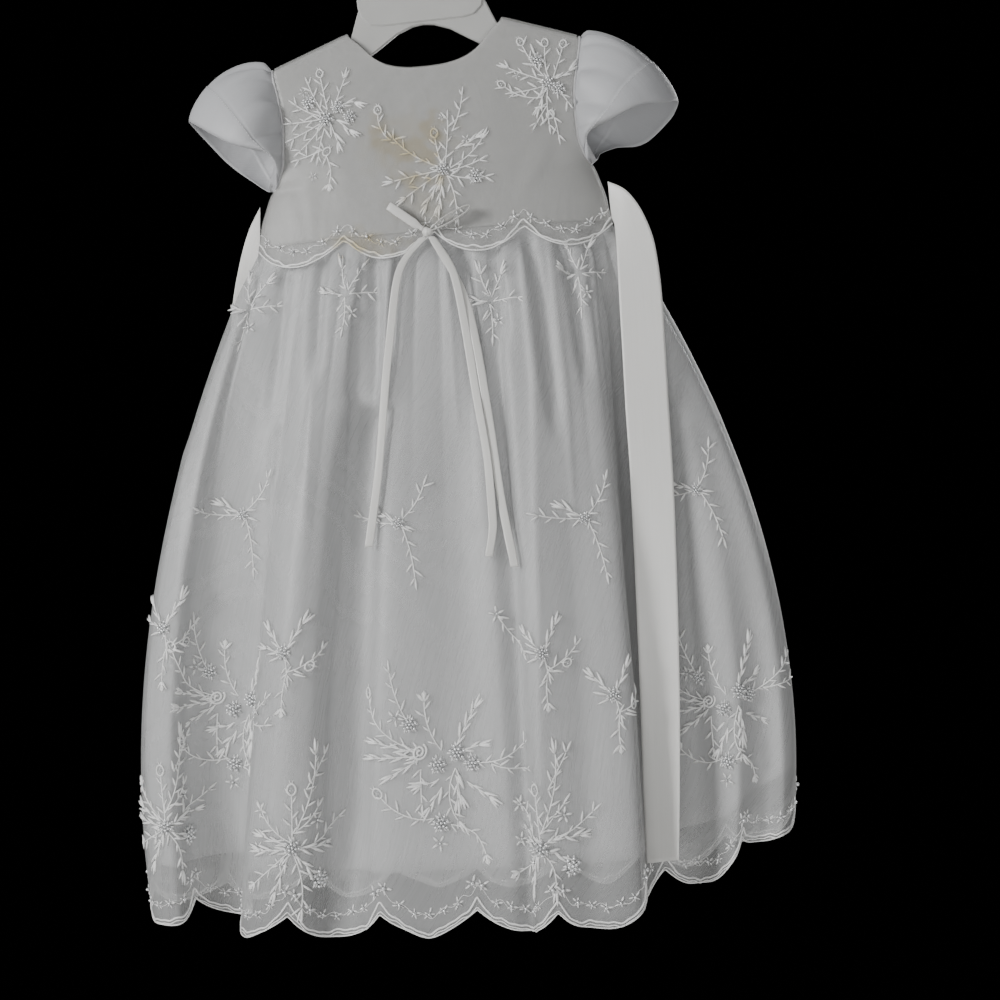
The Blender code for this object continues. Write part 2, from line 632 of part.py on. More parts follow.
def slab(name, edge, half_thick, rounding):
    """A flat piece cut to an outline that is the same on both sides, its edges rounded."""
    outline = edge + [(-x, z) for x, z in reversed(edge[1:-1])]
    flat = bpy.data.curves.new(name, "CURVE")
    flat.dimensions = "2D"
    flat.fill_mode = "BOTH"
    flat.extrude = (half_thick - rounding) * MM
    flat.bevel_depth = rounding * MM
    flat.bevel_resolution = 0
    flat.offset = -rounding * MM
    line = flat.splines.new("POLY")
    line.points.add(len(outline) - 1)
    for point, (x, z) in zip(line.points, outline):
        x, z = turned_by_tilt(x, z)
        point.co = (x * MM, z * MM, 0, 1)
    line.use_cyclic_u = True
    made = bpy.data.objects.new(name, flat)
    made.rotation_euler = (math.pi / 2, 0, 0)
    return made


hanger_arms = slab("hanger_arms", HANGER_EDGE, 2.0, 1.0)
hanger_plate = slab("hanger_plate", PLATE_EDGE, 3.4, 1.0)

HOOK_RADIUS = 2.4
HOOK_BEND = 18.0 + HOOK_RADIUS
stem_foot = turned_by_tilt(0, -84)
hook_line = [(stem_foot[0], stem_foot[1]), (stem_foot[0] * 0.6, -68)]
for i in range(7):
    t = i / 7
    hook_line.append((HOOK_BEND * t * t * (3 - 2 * t), -60 + (60 - 18) * t))
for i in range(17):
    turn = math.radians(215 * i / 16)
    hook_line.append((HOOK_BEND * math.cos(turn), -18 + HOOK_BEND * math.sin(turn)))
hook_curve = bpy.data.curves.new("hanger_hook", "CURVE")
hook_curve.dimensions = "3D"
hook_curve.bevel_depth = HOOK_RADIUS * MM
hook_curve.bevel_resolution = 2
hook_curve.use_fill_caps = True
hook_spline = hook_curve.splines.new("POLY")
hook_spline.points.add(len(hook_line) - 1)
for point, (x, z) in zip(hook_spline.points, hook_line):
    point.co = (x * MM, 0, z * MM, 1)
hanger_hook = bpy.data.objects.new("hanger_hook", hook_curve)

for piece in (hanger_arms, hanger_plate, hanger_hook):
    guides.objects.link(piece)
bpy.context.view_layer.update()
graph = bpy.context.evaluated_depsgraph_get()
for piece in (hanger_arms, hanger_plate, hanger_hook):
    solid = bpy.data.meshes.new_from_object(piece.evaluated_get(graph), depsgraph=graph)
    solid.transform(piece.matrix_world)
    work = bmesh.new()
    work.from_mesh(solid)
    bmesh.ops.remove_doubles(work, verts=work.verts, dist=1e-6)
    bmesh.ops.triangulate(work, faces=work.faces)
    bmesh.ops.recalc_face_normals(work, faces=work.faces)
    work.to_mesh(solid)
    work.free()
    name = piece.name
    bpy.data.objects.remove(piece)
    made = bpy.data.objects.new(name, solid)
    guides.objects.link(made)

hanger = bpy.data.objects["hanger_arms"]
for name in ("hanger_plate", "hanger_hook"):
    cutter = bpy.data.objects[name]
    cutter.hide_render = True
    cutter.display_type = "WIRE"
    join = hanger.modifiers.new(f"join {name}", "BOOLEAN")
    join.operation = "UNION"
    join.solver = "EXACT"
    join.object = cutter
guides.objects.unlink(hanger)
gown.objects.link(hanger)
hanger.name = "hanger"
hanger.data.materials.clear()
hanger.data.materials.append(gown_material("hanger", (0.88, 0.88, 0.87), 0.4))
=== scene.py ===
"""Christening gown on a baby hanger: satin and embroidered net, with its sash, bow, beads and stitching."""

import math

import bmesh
import bpy
import numpy as np
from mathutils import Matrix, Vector


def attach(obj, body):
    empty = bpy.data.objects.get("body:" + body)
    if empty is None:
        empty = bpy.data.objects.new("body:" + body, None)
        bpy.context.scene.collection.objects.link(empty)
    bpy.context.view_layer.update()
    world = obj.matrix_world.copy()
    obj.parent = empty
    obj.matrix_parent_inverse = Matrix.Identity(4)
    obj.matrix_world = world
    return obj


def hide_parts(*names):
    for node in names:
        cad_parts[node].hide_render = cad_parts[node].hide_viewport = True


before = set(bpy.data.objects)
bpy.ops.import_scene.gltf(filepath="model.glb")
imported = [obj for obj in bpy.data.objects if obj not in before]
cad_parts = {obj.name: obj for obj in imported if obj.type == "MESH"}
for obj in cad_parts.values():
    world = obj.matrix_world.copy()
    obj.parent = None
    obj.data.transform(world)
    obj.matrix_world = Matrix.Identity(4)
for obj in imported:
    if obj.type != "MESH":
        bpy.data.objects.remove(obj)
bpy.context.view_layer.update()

# Studio: the gown hangs from a rail at a child's eye level, over a pale floor, in soft light from large
# lamps, and the camera stands straight in front of it.
MM = 0.001
camera_data = bpy.data.cameras.new("camera")
camera_data.lens = 55.2
camera_data.sensor_width = 36
camera = bpy.data.objects.new("camera", camera_data)
camera.location = (0.038, -1.15, -0.469)
camera.rotation_euler = (math.radians(90), math.radians(3), 0)
bpy.context.scene.collection.objects.link(camera)
bpy.context.scene.camera = camera

STUDIO_MIDDLE = Vector((0.0, 0.0, -0.42))
LAMPS = [  # name, place, size across and up, watts
    ("front_left", (-1.6, -1.2, 0.15), 0.55, 0.7, 38),
    ("front_right", (1.4, -1.9, -0.45), 1.2, 1.6, 11),
    ("front_low", (-0.2, -2.2, -1.05), 1.2, 0.8, 16),
    ("above", (0.1, -0.4, 1.3), 1.6, 1.0, 6),
    ("behind", (0.9, 1.7, 0.1), 1.2, 1.2, 38),
]
for name, place, across, up, watts in LAMPS:
    lamp_data = bpy.data.lights.new(name, "AREA")
    lamp_data.shape = "RECTANGLE"
    lamp_data.size = across
    lamp_data.size_y = up
    lamp_data.energy = watts
    lamp = bpy.data.objects.new(name, lamp_data)
    lamp.location = place
    lamp.rotation_euler = (STUDIO_MIDDLE - Vector(place)).to_track_quat("-Z", "Y").to_euler()
    bpy.context.scene.collection.objects.link(lamp)

world = bpy.data.worlds.new("studio")
bpy.context.scene.world = world
world.use_nodes = True
world.node_tree.nodes["Background"].inputs["Color"].default_value = (0.0005, 0.0005, 0.0005, 1)
world.node_tree.nodes["Background"].inputs["Strength"].default_value = 1.0

bpy.ops.mesh.primitive_grid_add(x_subdivisions=2, y_subdivisions=2, size=2.6, location=(0, -0.35, -1.34))
floor = bpy.context.object
floor.name = "floor"
floor_paint = bpy.data.materials.new("floor paint")
floor_paint.use_nodes = True
floor_paint.node_tree.nodes["Principled BSDF"].inputs["Base Color"].default_value = (0.62, 0.61, 0.59, 1)
floor_paint.node_tree.nodes["Principled BSDF"].inputs["Roughness"].default_value = 0.7
floor.data.materials.append(floor_paint)


# Underskirt: two plain satin panels under the net, gathered into the waist and 45 mm shorter than it.
# They hang in the same folds as the net, a few millimetres inside it.
SEAM_GAP = 0.3
WAIST_Z, WAIST_X, WAIST_Y, LENS = -268.5, 131.0, 24.0, 0.75
SKIRT_LENGTH, UNDERSKIRT_LENGTH = 508.0, 463.0
HEM_SCALLOP, HEM_SCALLOP_DEEP = 70.0, 17.0
KNEE = 0.45  # how far down the skirt its knee is

# How far the gown hangs askew: height, slope of the level lines in degrees.
TILT = [(-800, 0.0), (-268, 1.7), (-139, 3.4), (-100, 3.4)]

# Folds of the skirt, round it from the left seam: x at the waist, x and y at knee height, x and y at the
# hem, how much higher the hem is caught up there.
FOLDS = [
    (-131.0, -217, 4, -238, 8, 0), (-130.4, -212, -14, -231, -19, 0), (-127.5, -195, -24, -212, -28, 0),
    (-121.0, -184, -12, -200, -8, 2), (-106.0, -155, -10, -179, 2, 4), (-92.0, -132, -16, -161, -8, 2),
    (-85.0, -124, -40, -162, -52, 0), (-72.0, -108, -53, -145, -69, 0), (-57.0, -92, -50, -118, -70, 0),
    (-43.0, -77, -37, -97, -59, 0), (-27.0, -50, -49, -62, -69, 0), (8.0, 4, -42, -4, -66, 0),
    (30.0, 30, -49, 32, -64, 0), (43.0, 45, -43, 46, -61, 0), (50.0, 54, -55, 52, -77, -4),
    (78.0, 86, -51, 86, -74, 0), (108.0, 119, -42, 124, -66, 0), (114.0, 123, -22, 127, -22, 2),
    (119.0, 138, -8, 144, -1, 6), (124.0, 165, -12, 168, -4, 10), (127.0, 190, -22, 194, -30, 22),
    (129.2, 207, -17, 212, -15, 32), (130.4, 218, -11, 232, -24, 38), (131.0, 225, 7, 246, 4, 36),
    (128.5, 212, 26, 226, 40, 24), (112.0, 176, 24, 190, 38, 12), (92.0, 140, 42, 152, 66, 4),
    (66.0, 100, 36, 108, 54, 0), (40.0, 58, 48, 62, 74, 0), (8.0, 12, 40, 14, 60, 0),
    (-26.0, -36, 49, -40, 76, 0), (-56.0, -82, 37, -88, 56, 0), (-86.0, -128, 44, -138, 70, 0),
    (-110.0, -170, 25, -184, 40, 0), (-128.5, -208, 26, -222, 40, 0),
]
RIGHT_SEAM = 23  # which of the folds is at the right side seam
FRONT_GATHERS = [-131, -116, -100, -84, -70, -57, -44, -22, -4, 10, 30, 50, 68, 90, 103, 116, 131]
BACK_GATHERS = [-131, -112, -94, -80, -60, -46, -30, -12, 8, 22, 40, 58, 74, 92, 110, 131]


# Creases of the skirt, each a line of x and height from its top to its foot, how broad it is,
# how far it stands out (less than zero is a trough), and its steep side, -1 left, 1 right or 0 neither.
CREASES = {
    "front": [
        ([(-97, -283), (-107, -350), (-119, -440)], 9, 2.6, -1),
        ([(-82, -283), (-92, -375), (-106, -520)], 12, 3.0, 1),
        ([(-55, -283), (-66, -339), (-78, -450)], 9, 3.0, 1),
        ([(-43, -283), (-50, -392), (-60, -540)], 13, 3.2, -1),
        ([(7, -283), (10, -343), (11, -440)], 9, 2.2, 1),
        ([(46, -283), (48, -382), (51, -540)], 11, 2.4, -1),
        ([(61, -283), (66, -383), (60, -560), (48, -830)], 12, 4.4, -1),
        ([(84, -283), (90, -399), (91, -520)], 9, 2.0, 1),
        ([(112, -283), (123, -345), (123, -448), (121, -530), (125, -617), (124, -830)], 15, 2.6, 1),
        ([(125, -283), (132, -347), (141, -440)], 6, 1.2, 1),
        ([(-126, -400), (-132, -504), (-142, -568), (-176, -830)], 14, 4.4, -1),
        ([(-195, -400), (-199, -530), (-205, -603), (-216, -830)], 10, 1.0, 1),
        ([(-50, -390), (-60, -464), (-68, -548), (-76, -621), (-81, -691), (-86, -830)], 14, -11.0, 0),
        ([(-70, -380), (-76, -463), (-87, -547), (-97, -620), (-101, -690), (-108, -830)], 17, 3.6, 1),
        ([(-82, -272), (-88, -316), (-93, -385)], 4.5, -6.8, 0),
        ([(-44, -272), (-45, -318), (-52, -420)], 5, -7.2, 0),
        ([(-25, -272), (-32, -319), (-37, -380)], 4, -5.5, 0),
        ([(68, -272), (75, -325), (82, -440)], 5, -7.2, 0),
        ([(91, -272), (101, -325), (108, -400)], 4.5, -6.6, 0),
        ([(20, -272), (24, -330), (28, -420)], 4.5, -5.5, 0),
        ([(-108, -272), (-118, -330), (-130, -400)], 4.5, -4.5, 0),
        ([(44, -272), (47, -320), (50, -370)], 4, -4.0, 0),
        ([(-10, -380), (-23, -538), (-36, -700)], 17, 1.3, 0),
        ([(14, -480), (15, -611), (10, -830)], 13, -1.5, 0),
        ([(-110, -440), (-122, -603), (-136, -830)], 16, 1.6, 0),
        ([(93, -480), (93, -614), (86, -830)], 12, -1.6, 0),
        ([(172, -400), (178, -506), (182, -680)], 11, 2.2, -1),
        ([(190, -420), (209, -552), (228, -760)], 13, -2.2, 0),
        ([(-128, -283), (-160, -384), (-188, -520)], 9, 2.0, -1),
        ([(-140, -290), (-177, -413), (-207, -560)], 8, 1.5, 1),
        ([(28, -283), (33, -330), (38, -385)], 6, -1.4, 0),
    ],
    "back": [
        ([(108, -283), (120, -360), (131, -450)], 9, 2.2, 1),
        ([(90, -283), (99, -390), (112, -540)], 12, 2.5, -1),
        ([(63, -283), (69, -350), (75, -430)], 8, 1.8, 1),
        ([(38, -283), (43, -400), (50, -580), (58, -830)], 14, 2.6, 1),
        ([(10, -283), (12, -340), (12, -410)], 8, 1.6, -1),
        ([(-14, -283), (-17, -380), (-24, -520)], 11, 2.1, -1),
        ([(-42, -283), (-50, -400), (-66, -600), (-78, -830)], 14, 2.7, -1),
        ([(-76, -283), (-88, -360), (-99, -450)], 9, 1.9, 1),
        ([(-101, -283), (-121, -400), (-142, -560)], 11, 2.3, -1),
        ([(140, -380), (158, -520), (172, -830)], 15, -3.0, 0),
        ([(16, -440), (20, -600), (24, -830)], 14, -2.4, 0),
        ([(-118, -430), (-132, -600), (-146, -830)], 15, -2.8, 0),
        ([(196, -420), (212, -560), (224, -760)], 11, 2.1, 1),
        ([(-180, -380), (-196, -540), (-206, -760)], 12, 2.0, -1),
        ([(92, -500), (104, -640), (112, -830)], 13, 1.8, 0),
        ([(-52, -470), (-58, -590), (-60, -700)], 12, 1.4, 0),
    ],
}


def creased(x, z, table):
    """How far the creases of a table stand the cloth out at places across it and heights."""
    out = np.zeros(np.broadcast(x, z).shape)
    for line, broad, high, steep in table:
        line_x, line_z = np.array(line, float).T
        long = line_z[0] - line_z[-1]
        window = np.clip(np.minimum((line_z[0] - z) / 12, (z - line_z[-1]) / (0.35 * long)), 0, 1)
        away = x - np.interp(-z, -line_z, line_x)
        if steep:
            near = np.exp(-np.abs(away) / np.where(away * steep > 0, broad * 0.28, broad))
        else:
            near = np.exp(-((away / broad) ** 2))
        out += high * window * window * (3 - 2 * window) * near
    return out


def hermite(t, step, start, start_slope, end, end_slope):
    """A smooth curve between two values with the slopes that it has there."""
    return (
        start * (1 + 2 * t) * (1 - t) ** 2
        + start_slope * step * t * (1 - t) ** 2
        + end * t * t * (3 - 2 * t)
        + end_slope * step * t * t * (t - 1)
    )


def curve(table, at):
    """Reads a table of pairs at any place between them, smoothly and with no overshoot."""
    x, y = np.array(table, float).T
    at = np.clip(at, x[0], x[-1])
    step = np.diff(x)
    slope = np.diff(y) / step
    tangent = np.zeros(len(x))
    same = slope[:-1] * slope[1:] > 0
    tangent[1:-1][same] = 2 * slope[:-1][same] * slope[1:][same] / (slope[:-1] + slope[1:])[same]
    tangent[0], tangent[-1] = slope[0], slope[-1]
    i = np.clip(np.searchsorted(x, at, side="right") - 1, 0, len(x) - 2)
    return hermite((at - x[i]) / step[i], step[i], y[i], tangent[i], y[i + 1], tangent[i + 1])


def ring(knots, values, around, at):
    """Reads rows of values round a closed ring, smoothly."""
    knots, values = np.asarray(knots, float), np.asarray(values, float)
    k = np.concatenate([[knots[-1] - around], knots, [knots[0] + around, knots[1] + around]])
    v = np.concatenate([values[-1:], values, values[:2]])
    at = knots[0] + np.mod(np.asarray(at, float) - knots[0], around)
    i = np.clip(np.searchsorted(k, at, side="right") - 1, 1, len(k) - 3)
    step = (k[i + 1] - k[i])[:, None]
    tangent_a = (v[i + 1] - v[i - 1]) / (k[i + 1] - k[i - 1])[:, None]
    tangent_b = (v[i + 2] - v[i]) / (k[i + 2] - k[i])[:, None]
    return hermite(((at - k[i])[:, None]) / step, step, v[i], tangent_a, v[i + 1], tangent_b)


def hang(points):
    """Sets the level lines of the gown to the slope at which it hangs."""
    points = np.array(points, float)
    slope = np.tan(np.radians(np.interp(points[..., 2], [r[0] for r in TILT], [r[1] for r in TILT])))
    points[..., 2] += points[..., 0] * slope
    return points


def unit(v):
    return v / np.maximum(np.linalg.norm(v, axis=-1, keepdims=True), 1e-9)


def grid_normals(grid, closed=False):
    """Normals of a grid of points, along its columns and across its rows."""
    down = np.gradient(grid, axis=0)
    if closed:
        across = np.roll(grid, -1, axis=1) - np.roll(grid, 1, axis=1)
    else:
        across = np.gradient(grid, axis=1)
    return unit(np.cross(across, down))


def run_along(grid, axis):
    """Distance in metres along the rows or columns of a grid."""
    step = np.linalg.norm(np.diff(grid, axis=axis), axis=-1) * MM
    start = np.zeros_like(np.take(step, [0], axis=axis))
    return np.cumsum(np.concatenate([start, step], axis=axis), axis=axis)


def dressed(name, points, faces, corners, material, node):
    """A smooth closed piece on the body in place of a node: its points in millimetres, and the place of
    each corner of its faces on the flat cloth, in metres."""
    mesh = bpy.data.meshes.new(name)
    mesh.from_pydata((np.array(points) * MM).tolist(), [], faces)
    mesh.uv_layers.new(name="cloth").data.foreach_set("uv", np.array(corners, np.float32).ravel())
    work = bmesh.new()
    work.from_mesh(mesh)
    bmesh.ops.recalc_face_normals(work, faces=work.faces)
    work.to_mesh(mesh)
    work.free()
    mesh.polygons.foreach_set("use_smooth", [True] * len(mesh.polygons))
    mesh.materials.append(material)
    piece = bpy.data.objects.new(name, mesh)
    bpy.context.scene.collection.objects.link(piece)
    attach(piece, "root")
    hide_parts(node)
    return piece


panels = {}  # of each piece of cloth: its points, its normals, and how far each point is across and down it


def cloth(name, middle, thickness, material, node, outward=(0, 0, 0), closed=False):
    """One thickness of cloth through a grid of points in millimetres, both faces and all its cut edges.
    Its map is the flat cloth: metres across it and down it."""
    rows, columns = middle.shape[:2]
    normals = grid_normals(middle, closed)
    normals *= np.sign((normals * (middle - np.array(outward, float))).sum() or 1)
    outer = (middle + normals * thickness / 2).reshape(-1, 3)
    inner = (middle - normals * thickness / 2).reshape(-1, 3)
    across, down = run_along(middle, 1), run_along(middle, 0)
    if closed:
        girth = across[:, -1:] + np.linalg.norm(middle[:, -1:] - middle[:, :1], axis=-1) * MM
        across, down = np.hstack([across, girth]), np.hstack([down, down[:, :1]])
    flat = np.stack([across, down], axis=-1)
    half = rows * columns
    neighbours = [(j, (j + 1) % columns) for j in range(columns if closed else columns - 1)]
    faces, corners = [], []
    for i in range(rows - 1):
        for j, k in neighbours:
            a, b, c, d = i * columns + j, i * columns + k, (i + 1) * columns + k, (i + 1) * columns + j
            map_at = [flat[i, j], flat[i, j + 1], flat[i + 1, j + 1], flat[i + 1, j]]
            faces += [(a, b, c, d), (half + d, half + c, half + b, half + a)]
            corners += [map_at, map_at[::-1]]
    edges = [(i * columns + j, i * columns + k) for i in (0, rows - 1) for j, k in neighbours]
    if not closed:
        edges += [(i * columns + j, (i + 1) * columns + j) for j in (0, columns - 1) for i in range(rows - 1)]
    for a, b in edges:
        ends = [flat[n // columns, n % columns] for n in (a, b)]
        faces.append((a, b, half + b, half + a))
        corners.append([ends[0], ends[1], ends[1], ends[0]])
    piece = dressed(name, np.concatenate([outer, inner]), faces, corners, material, node)
    if middle[0, :, 2].mean() < middle[-1, :, 2].mean():
        middle, normals, across, down = middle[::-1], normals[::-1], across[::-1], down[-1:] - down[::-1]
    panels[name] = (middle, normals, across / MM, down / MM)
    return piece


def new_node(tree, kind, settings):
    """A node of a tree. Each setting is the name or number of one of its inputs, or else a property."""
    node = tree.nodes.new(kind)
    for key, value in settings.items():
        if isinstance(key, int) or key in node.inputs:
            node.inputs[key].default_value = value
        else:
            setattr(node, key, value)
    return node


def shader_tree(name, finish):
    """A new material, its node tree, and its Principled shader with the finish set."""
    material = bpy.data.materials.new(name)
    material.use_nodes = True
    shader = material.node_tree.nodes["Principled BSDF"]
    for key, value in finish.items():
        shader.inputs[key].default_value = value
    return material, material.node_tree, shader


def effect(name, inputs, outputs):
    """A shader node group for a shared effect, with makers of its nodes and its input and output nodes."""
    tree = bpy.data.node_groups.new(name, "ShaderNodeTree")
    for label, value in inputs:
        tree.interface.new_socket(label, in_out="INPUT", socket_type="NodeSocketFloat").default_value = value
    for label in outputs:
        tree.interface.new_socket(label, in_out="OUTPUT", socket_type="NodeSocketFloat")

    def maths(operation, *values):
        node = new_node(tree, "ShaderNodeMath", {"operation": operation})
        for socket, value in zip(node.inputs, values):
            if isinstance(value, (int, float)):
                socket.default_value = value
            else:
                tree.links.new(value, socket)
        return node.outputs["Value"]

    def noise(vector, scale, detail, stretch=None):
        if stretch:
            mapping = new_node(tree, "ShaderNodeMapping", {"Scale": stretch})
            tree.links.new(vector, mapping.inputs["Vector"])
            vector = mapping.outputs["Vector"]
        node = new_node(tree, "ShaderNodeTexNoise", {"Scale": scale, "Detail": detail})
        tree.links.new(vector, node.inputs["Vector"])
        return node.outputs["Fac"]

    return tree, maths, noise, tree.nodes.new("NodeGroupInput"), tree.nodes.new("NodeGroupOutput")


# Woven cloth, read off the flat map: threads both ways, long streaks along the warp, and soft patches. The
# streaks make the colour lighter and darker in bands, partly thicker warp and partly painted sheen, and
# the patches are uneven tone. Its faint watered rings are contours of a slow noise, and show in patches.
weave, maths, noise, given, made_of = effect(
    "weave", [("Across", 1500.0), ("Down", 1500.0), ("Streak", 0.1), ("Patch", 0.05)],
    ["Shade", "Height", "Moire"])
flat_map = new_node(weave, "ShaderNodeUVMap", {"uv_map": "cloth"}).outputs["UV"]
split = weave.nodes.new("ShaderNodeSeparateXYZ")
weave.links.new(flat_map, split.inputs["Vector"])
where = weave.nodes.new("ShaderNodeTexCoord").outputs["Object"]
threads = [
    maths("SINE", maths("MULTIPLY", maths("MULTIPLY", split.outputs[axis], given.outputs[pace]), 2 * math.pi))
    for axis, pace in (("X", "Across"), ("Y", "Down"))
]
streak = noise(flat_map, 1.0, 2.0, (620, 14, 1))
patch = noise(where, 11.0, 1.0)
contours = maths("SINE", maths("MULTIPLY", noise(where, 5.5, 1.0), 120.0))
patches = maths("MULTIPLY", maths("SUBTRACT", noise(where, 3.1, 1.0), 0.46), 7.0)
patches = maths("SMOOTH_MIN", maths("MAXIMUM", patches, 0.0), 1.0, 0.2)
# Painted sheen: the streaks lighten and darken the colour in bands along the warp; the patches are uneven
# tone.
shade = maths("ADD", maths("MULTIPLY", maths("SUBTRACT", streak, 0.5), given.outputs["Streak"]),
              maths("MULTIPLY", maths("SUBTRACT", patch, 0.5), given.outputs["Patch"]))
weave.links.new(maths("ADD", 1.0, maths("MULTIPLY", shade, 2.0)), made_of.inputs["Shade"])
relief = maths("ADD", streak, maths("MULTIPLY", maths("ADD", *threads), 0.12))
weave.links.new(relief, made_of.inputs["Height"])
weave.links.new(maths("MULTIPLY", contours, patches), made_of.inputs["Moire"])

# Where the front of the bodice is stained: along the left stem and its bud, fainter below and at the waist.
BLOTS = [  # x and z of the middle, how broad and how tall, in metres, and how strong
    (-0.038, -0.192, 0.010, 0.012, 0.6), (-0.028, -0.201, 0.014, 0.009, 0.8),
    (-0.014, -0.209, 0.016, 0.010, 1.0),
    (-0.004, -0.213, 0.014, 0.009, 1.0), (0.002, -0.194, 0.009, 0.016, 0.8),
    (-0.010, -0.231, 0.022, 0.007, 0.6),
    (-0.006, -0.250, 0.028, 0.018, 0.3), (-0.048, -0.276, 0.032, 0.013, 0.8),
    (-0.015, -0.203, 0.042, 0.030, 0.35),
]
SATIN_STAIN, NET_STAIN, THREAD_STAIN = (0.44, 0.41, 0.325), (0.48, 0.43, 0.31), (0.66, 0.58, 0.38)
stain, maths, noise, given, made_of = effect("stain", [("Strength", 1.0)], ["Mask"])
where = stain.nodes.new("ShaderNodeTexCoord").outputs["Object"]
split = stain.nodes.new("ShaderNodeSeparateXYZ")
stain.links.new(where, split.inputs["Vector"])
ragged = maths("MULTIPLY", maths("SUBTRACT", noise(where, 110.0, 3.0), 0.5), 2.2)
mask = 0.0
for x, z, broad, tall, depth in BLOTS:
    squares = [
        maths("POWER", maths("MULTIPLY", maths("SUBTRACT", split.outputs[axis], middle), 1 / reach), 2.0)
        for axis, middle, reach in (("X", x, broad), ("Z", z, tall))
    ]
    reach = maths("ADD", maths("SQRT", maths("ADD", *squares)), ragged)
    blot = maths("MULTIPLY", maths("MAXIMUM", maths("SUBTRACT", 1.0, reach), 0.0), depth * 1.5)
    mask = maths("ADD", mask, blot)
mask = maths("MULTIPLY", maths("MINIMUM", mask, 1.0), maths("LESS_THAN", split.outputs["Y"], 0.0))
stain.links.new(maths("MULTIPLY", mask, given.outputs["Strength"]), made_of.inputs["Mask"])


def tinted(tree, shader, colour, shade, stain_colour, stain_strength):
    """Feeds the base colour: the dye, lighter and darker by a shade, with the stain over it if it has any."""
    base = new_node(tree, "ShaderNodeVectorMath", {"operation": "SCALE", 0: colour})
    tree.links.new(shade, base.inputs["Scale"])
    end = base.outputs["Vector"]
    if stain_strength:
        blotch = new_node(tree, "ShaderNodeGroup", {"node_tree": stain, "Strength": stain_strength})
        mix = new_node(tree, "ShaderNodeMix", {"data_type": "RGBA", 7: (*stain_colour, 1)})
        tree.links.new(blotch.outputs["Mask"], mix.inputs["Factor"])
        tree.links.new(end, mix.inputs[6])
        end = mix.outputs[2]
    tree.links.new(end, shader.inputs["Base Color"])


def woven(tree, across, down, streak, patch):
    """The weave of a cloth: its threads in a metre across and down, and how strong its streaks and patches
    are."""
    return new_node(tree, "ShaderNodeGroup", {
        "node_tree": weave, "Across": across, "Down": down, "Streak": streak, "Patch": patch})


def bumped(tree, shader, height, strength, distance):
    """Feeds the shader's normal with a fine relief."""
    bump = new_node(tree, "ShaderNodeBump", {"Strength": strength, "Distance": distance})
    tree.links.new(height, bump.inputs["Height"])
    tree.links.new(bump.outputs["Normal"], shader.inputs["Normal"])


def satin(name, colour, rough=0.36, streak=0.07, sheen=0.3, stain_strength=0.0):
    """Satin: its warp floats give long soft streaks, in relief and as painted sheen in the colour, and a
    broad sheen.
    """
    material, tree, shader = shader_tree(name, {
        "Roughness": rough, "Sheen Weight": sheen, "Sheen Roughness": 0.35})
    cloth_of = woven(tree, 1800.0, 900.0, streak, 0.05)
    tinted(tree, shader, colour, cloth_of.outputs["Shade"], SATIN_STAIN, stain_strength)
    bumped(tree, shader, cloth_of.outputs["Height"], 0.3, 0.00035)
    return material


def mottled(name, colour, scale, detail, shades, finish, stain_strength=0.0, bump=None, worn=None):
    """A colour made a little darker and lighter by a noise, which may also give it a relief and wear."""
    material, tree, shader = shader_tree(name, finish)
    clouds = new_node(tree, "ShaderNodeTexNoise", {"Scale": scale, "Detail": detail})
    tree.links.new(tree.nodes.new("ShaderNodeTexCoord").outputs["Object"], clouds.inputs["Vector"])

    def between(low, high):
        node = new_node(tree, "ShaderNodeMapRange", {"To Min": low, "To Max": high})
        tree.links.new(clouds.outputs["Fac"], node.inputs["Value"])
        return node.outputs["Result"]

    tinted(tree, shader, colour, between(*shades), THREAD_STAIN, stain_strength)
    if bump:
        bumped(tree, shader, clouds.outputs["Fac"], *bump)
    if worn:
        tree.links.new(between(*worn), shader.inputs["Roughness"])
    return material


underskirt_satin = satin("underskirt satin", (0.78, 0.785, 0.79), rough=0.33, streak=0.05)
hem_line = np.array([(f[3], f[4]) for f in FOLDS], float)
chords = np.linalg.norm(np.roll(hem_line, -1, axis=0) - hem_line, axis=1)
AROUND = chords.sum()
KNOTS = np.concatenate([[0], np.cumsum(chords)[:-1]])
PANELS = {"front": (KNOTS[0], KNOTS[RIGHT_SEAM]), "back": (KNOTS[RIGHT_SEAM], AROUND)}


def gather_swell(s):
    """How far the gathers stand in and out, at a part of the way down the skirt."""
    return 2.1 * np.minimum(1, s / 0.05) * np.exp(-s / 0.25)


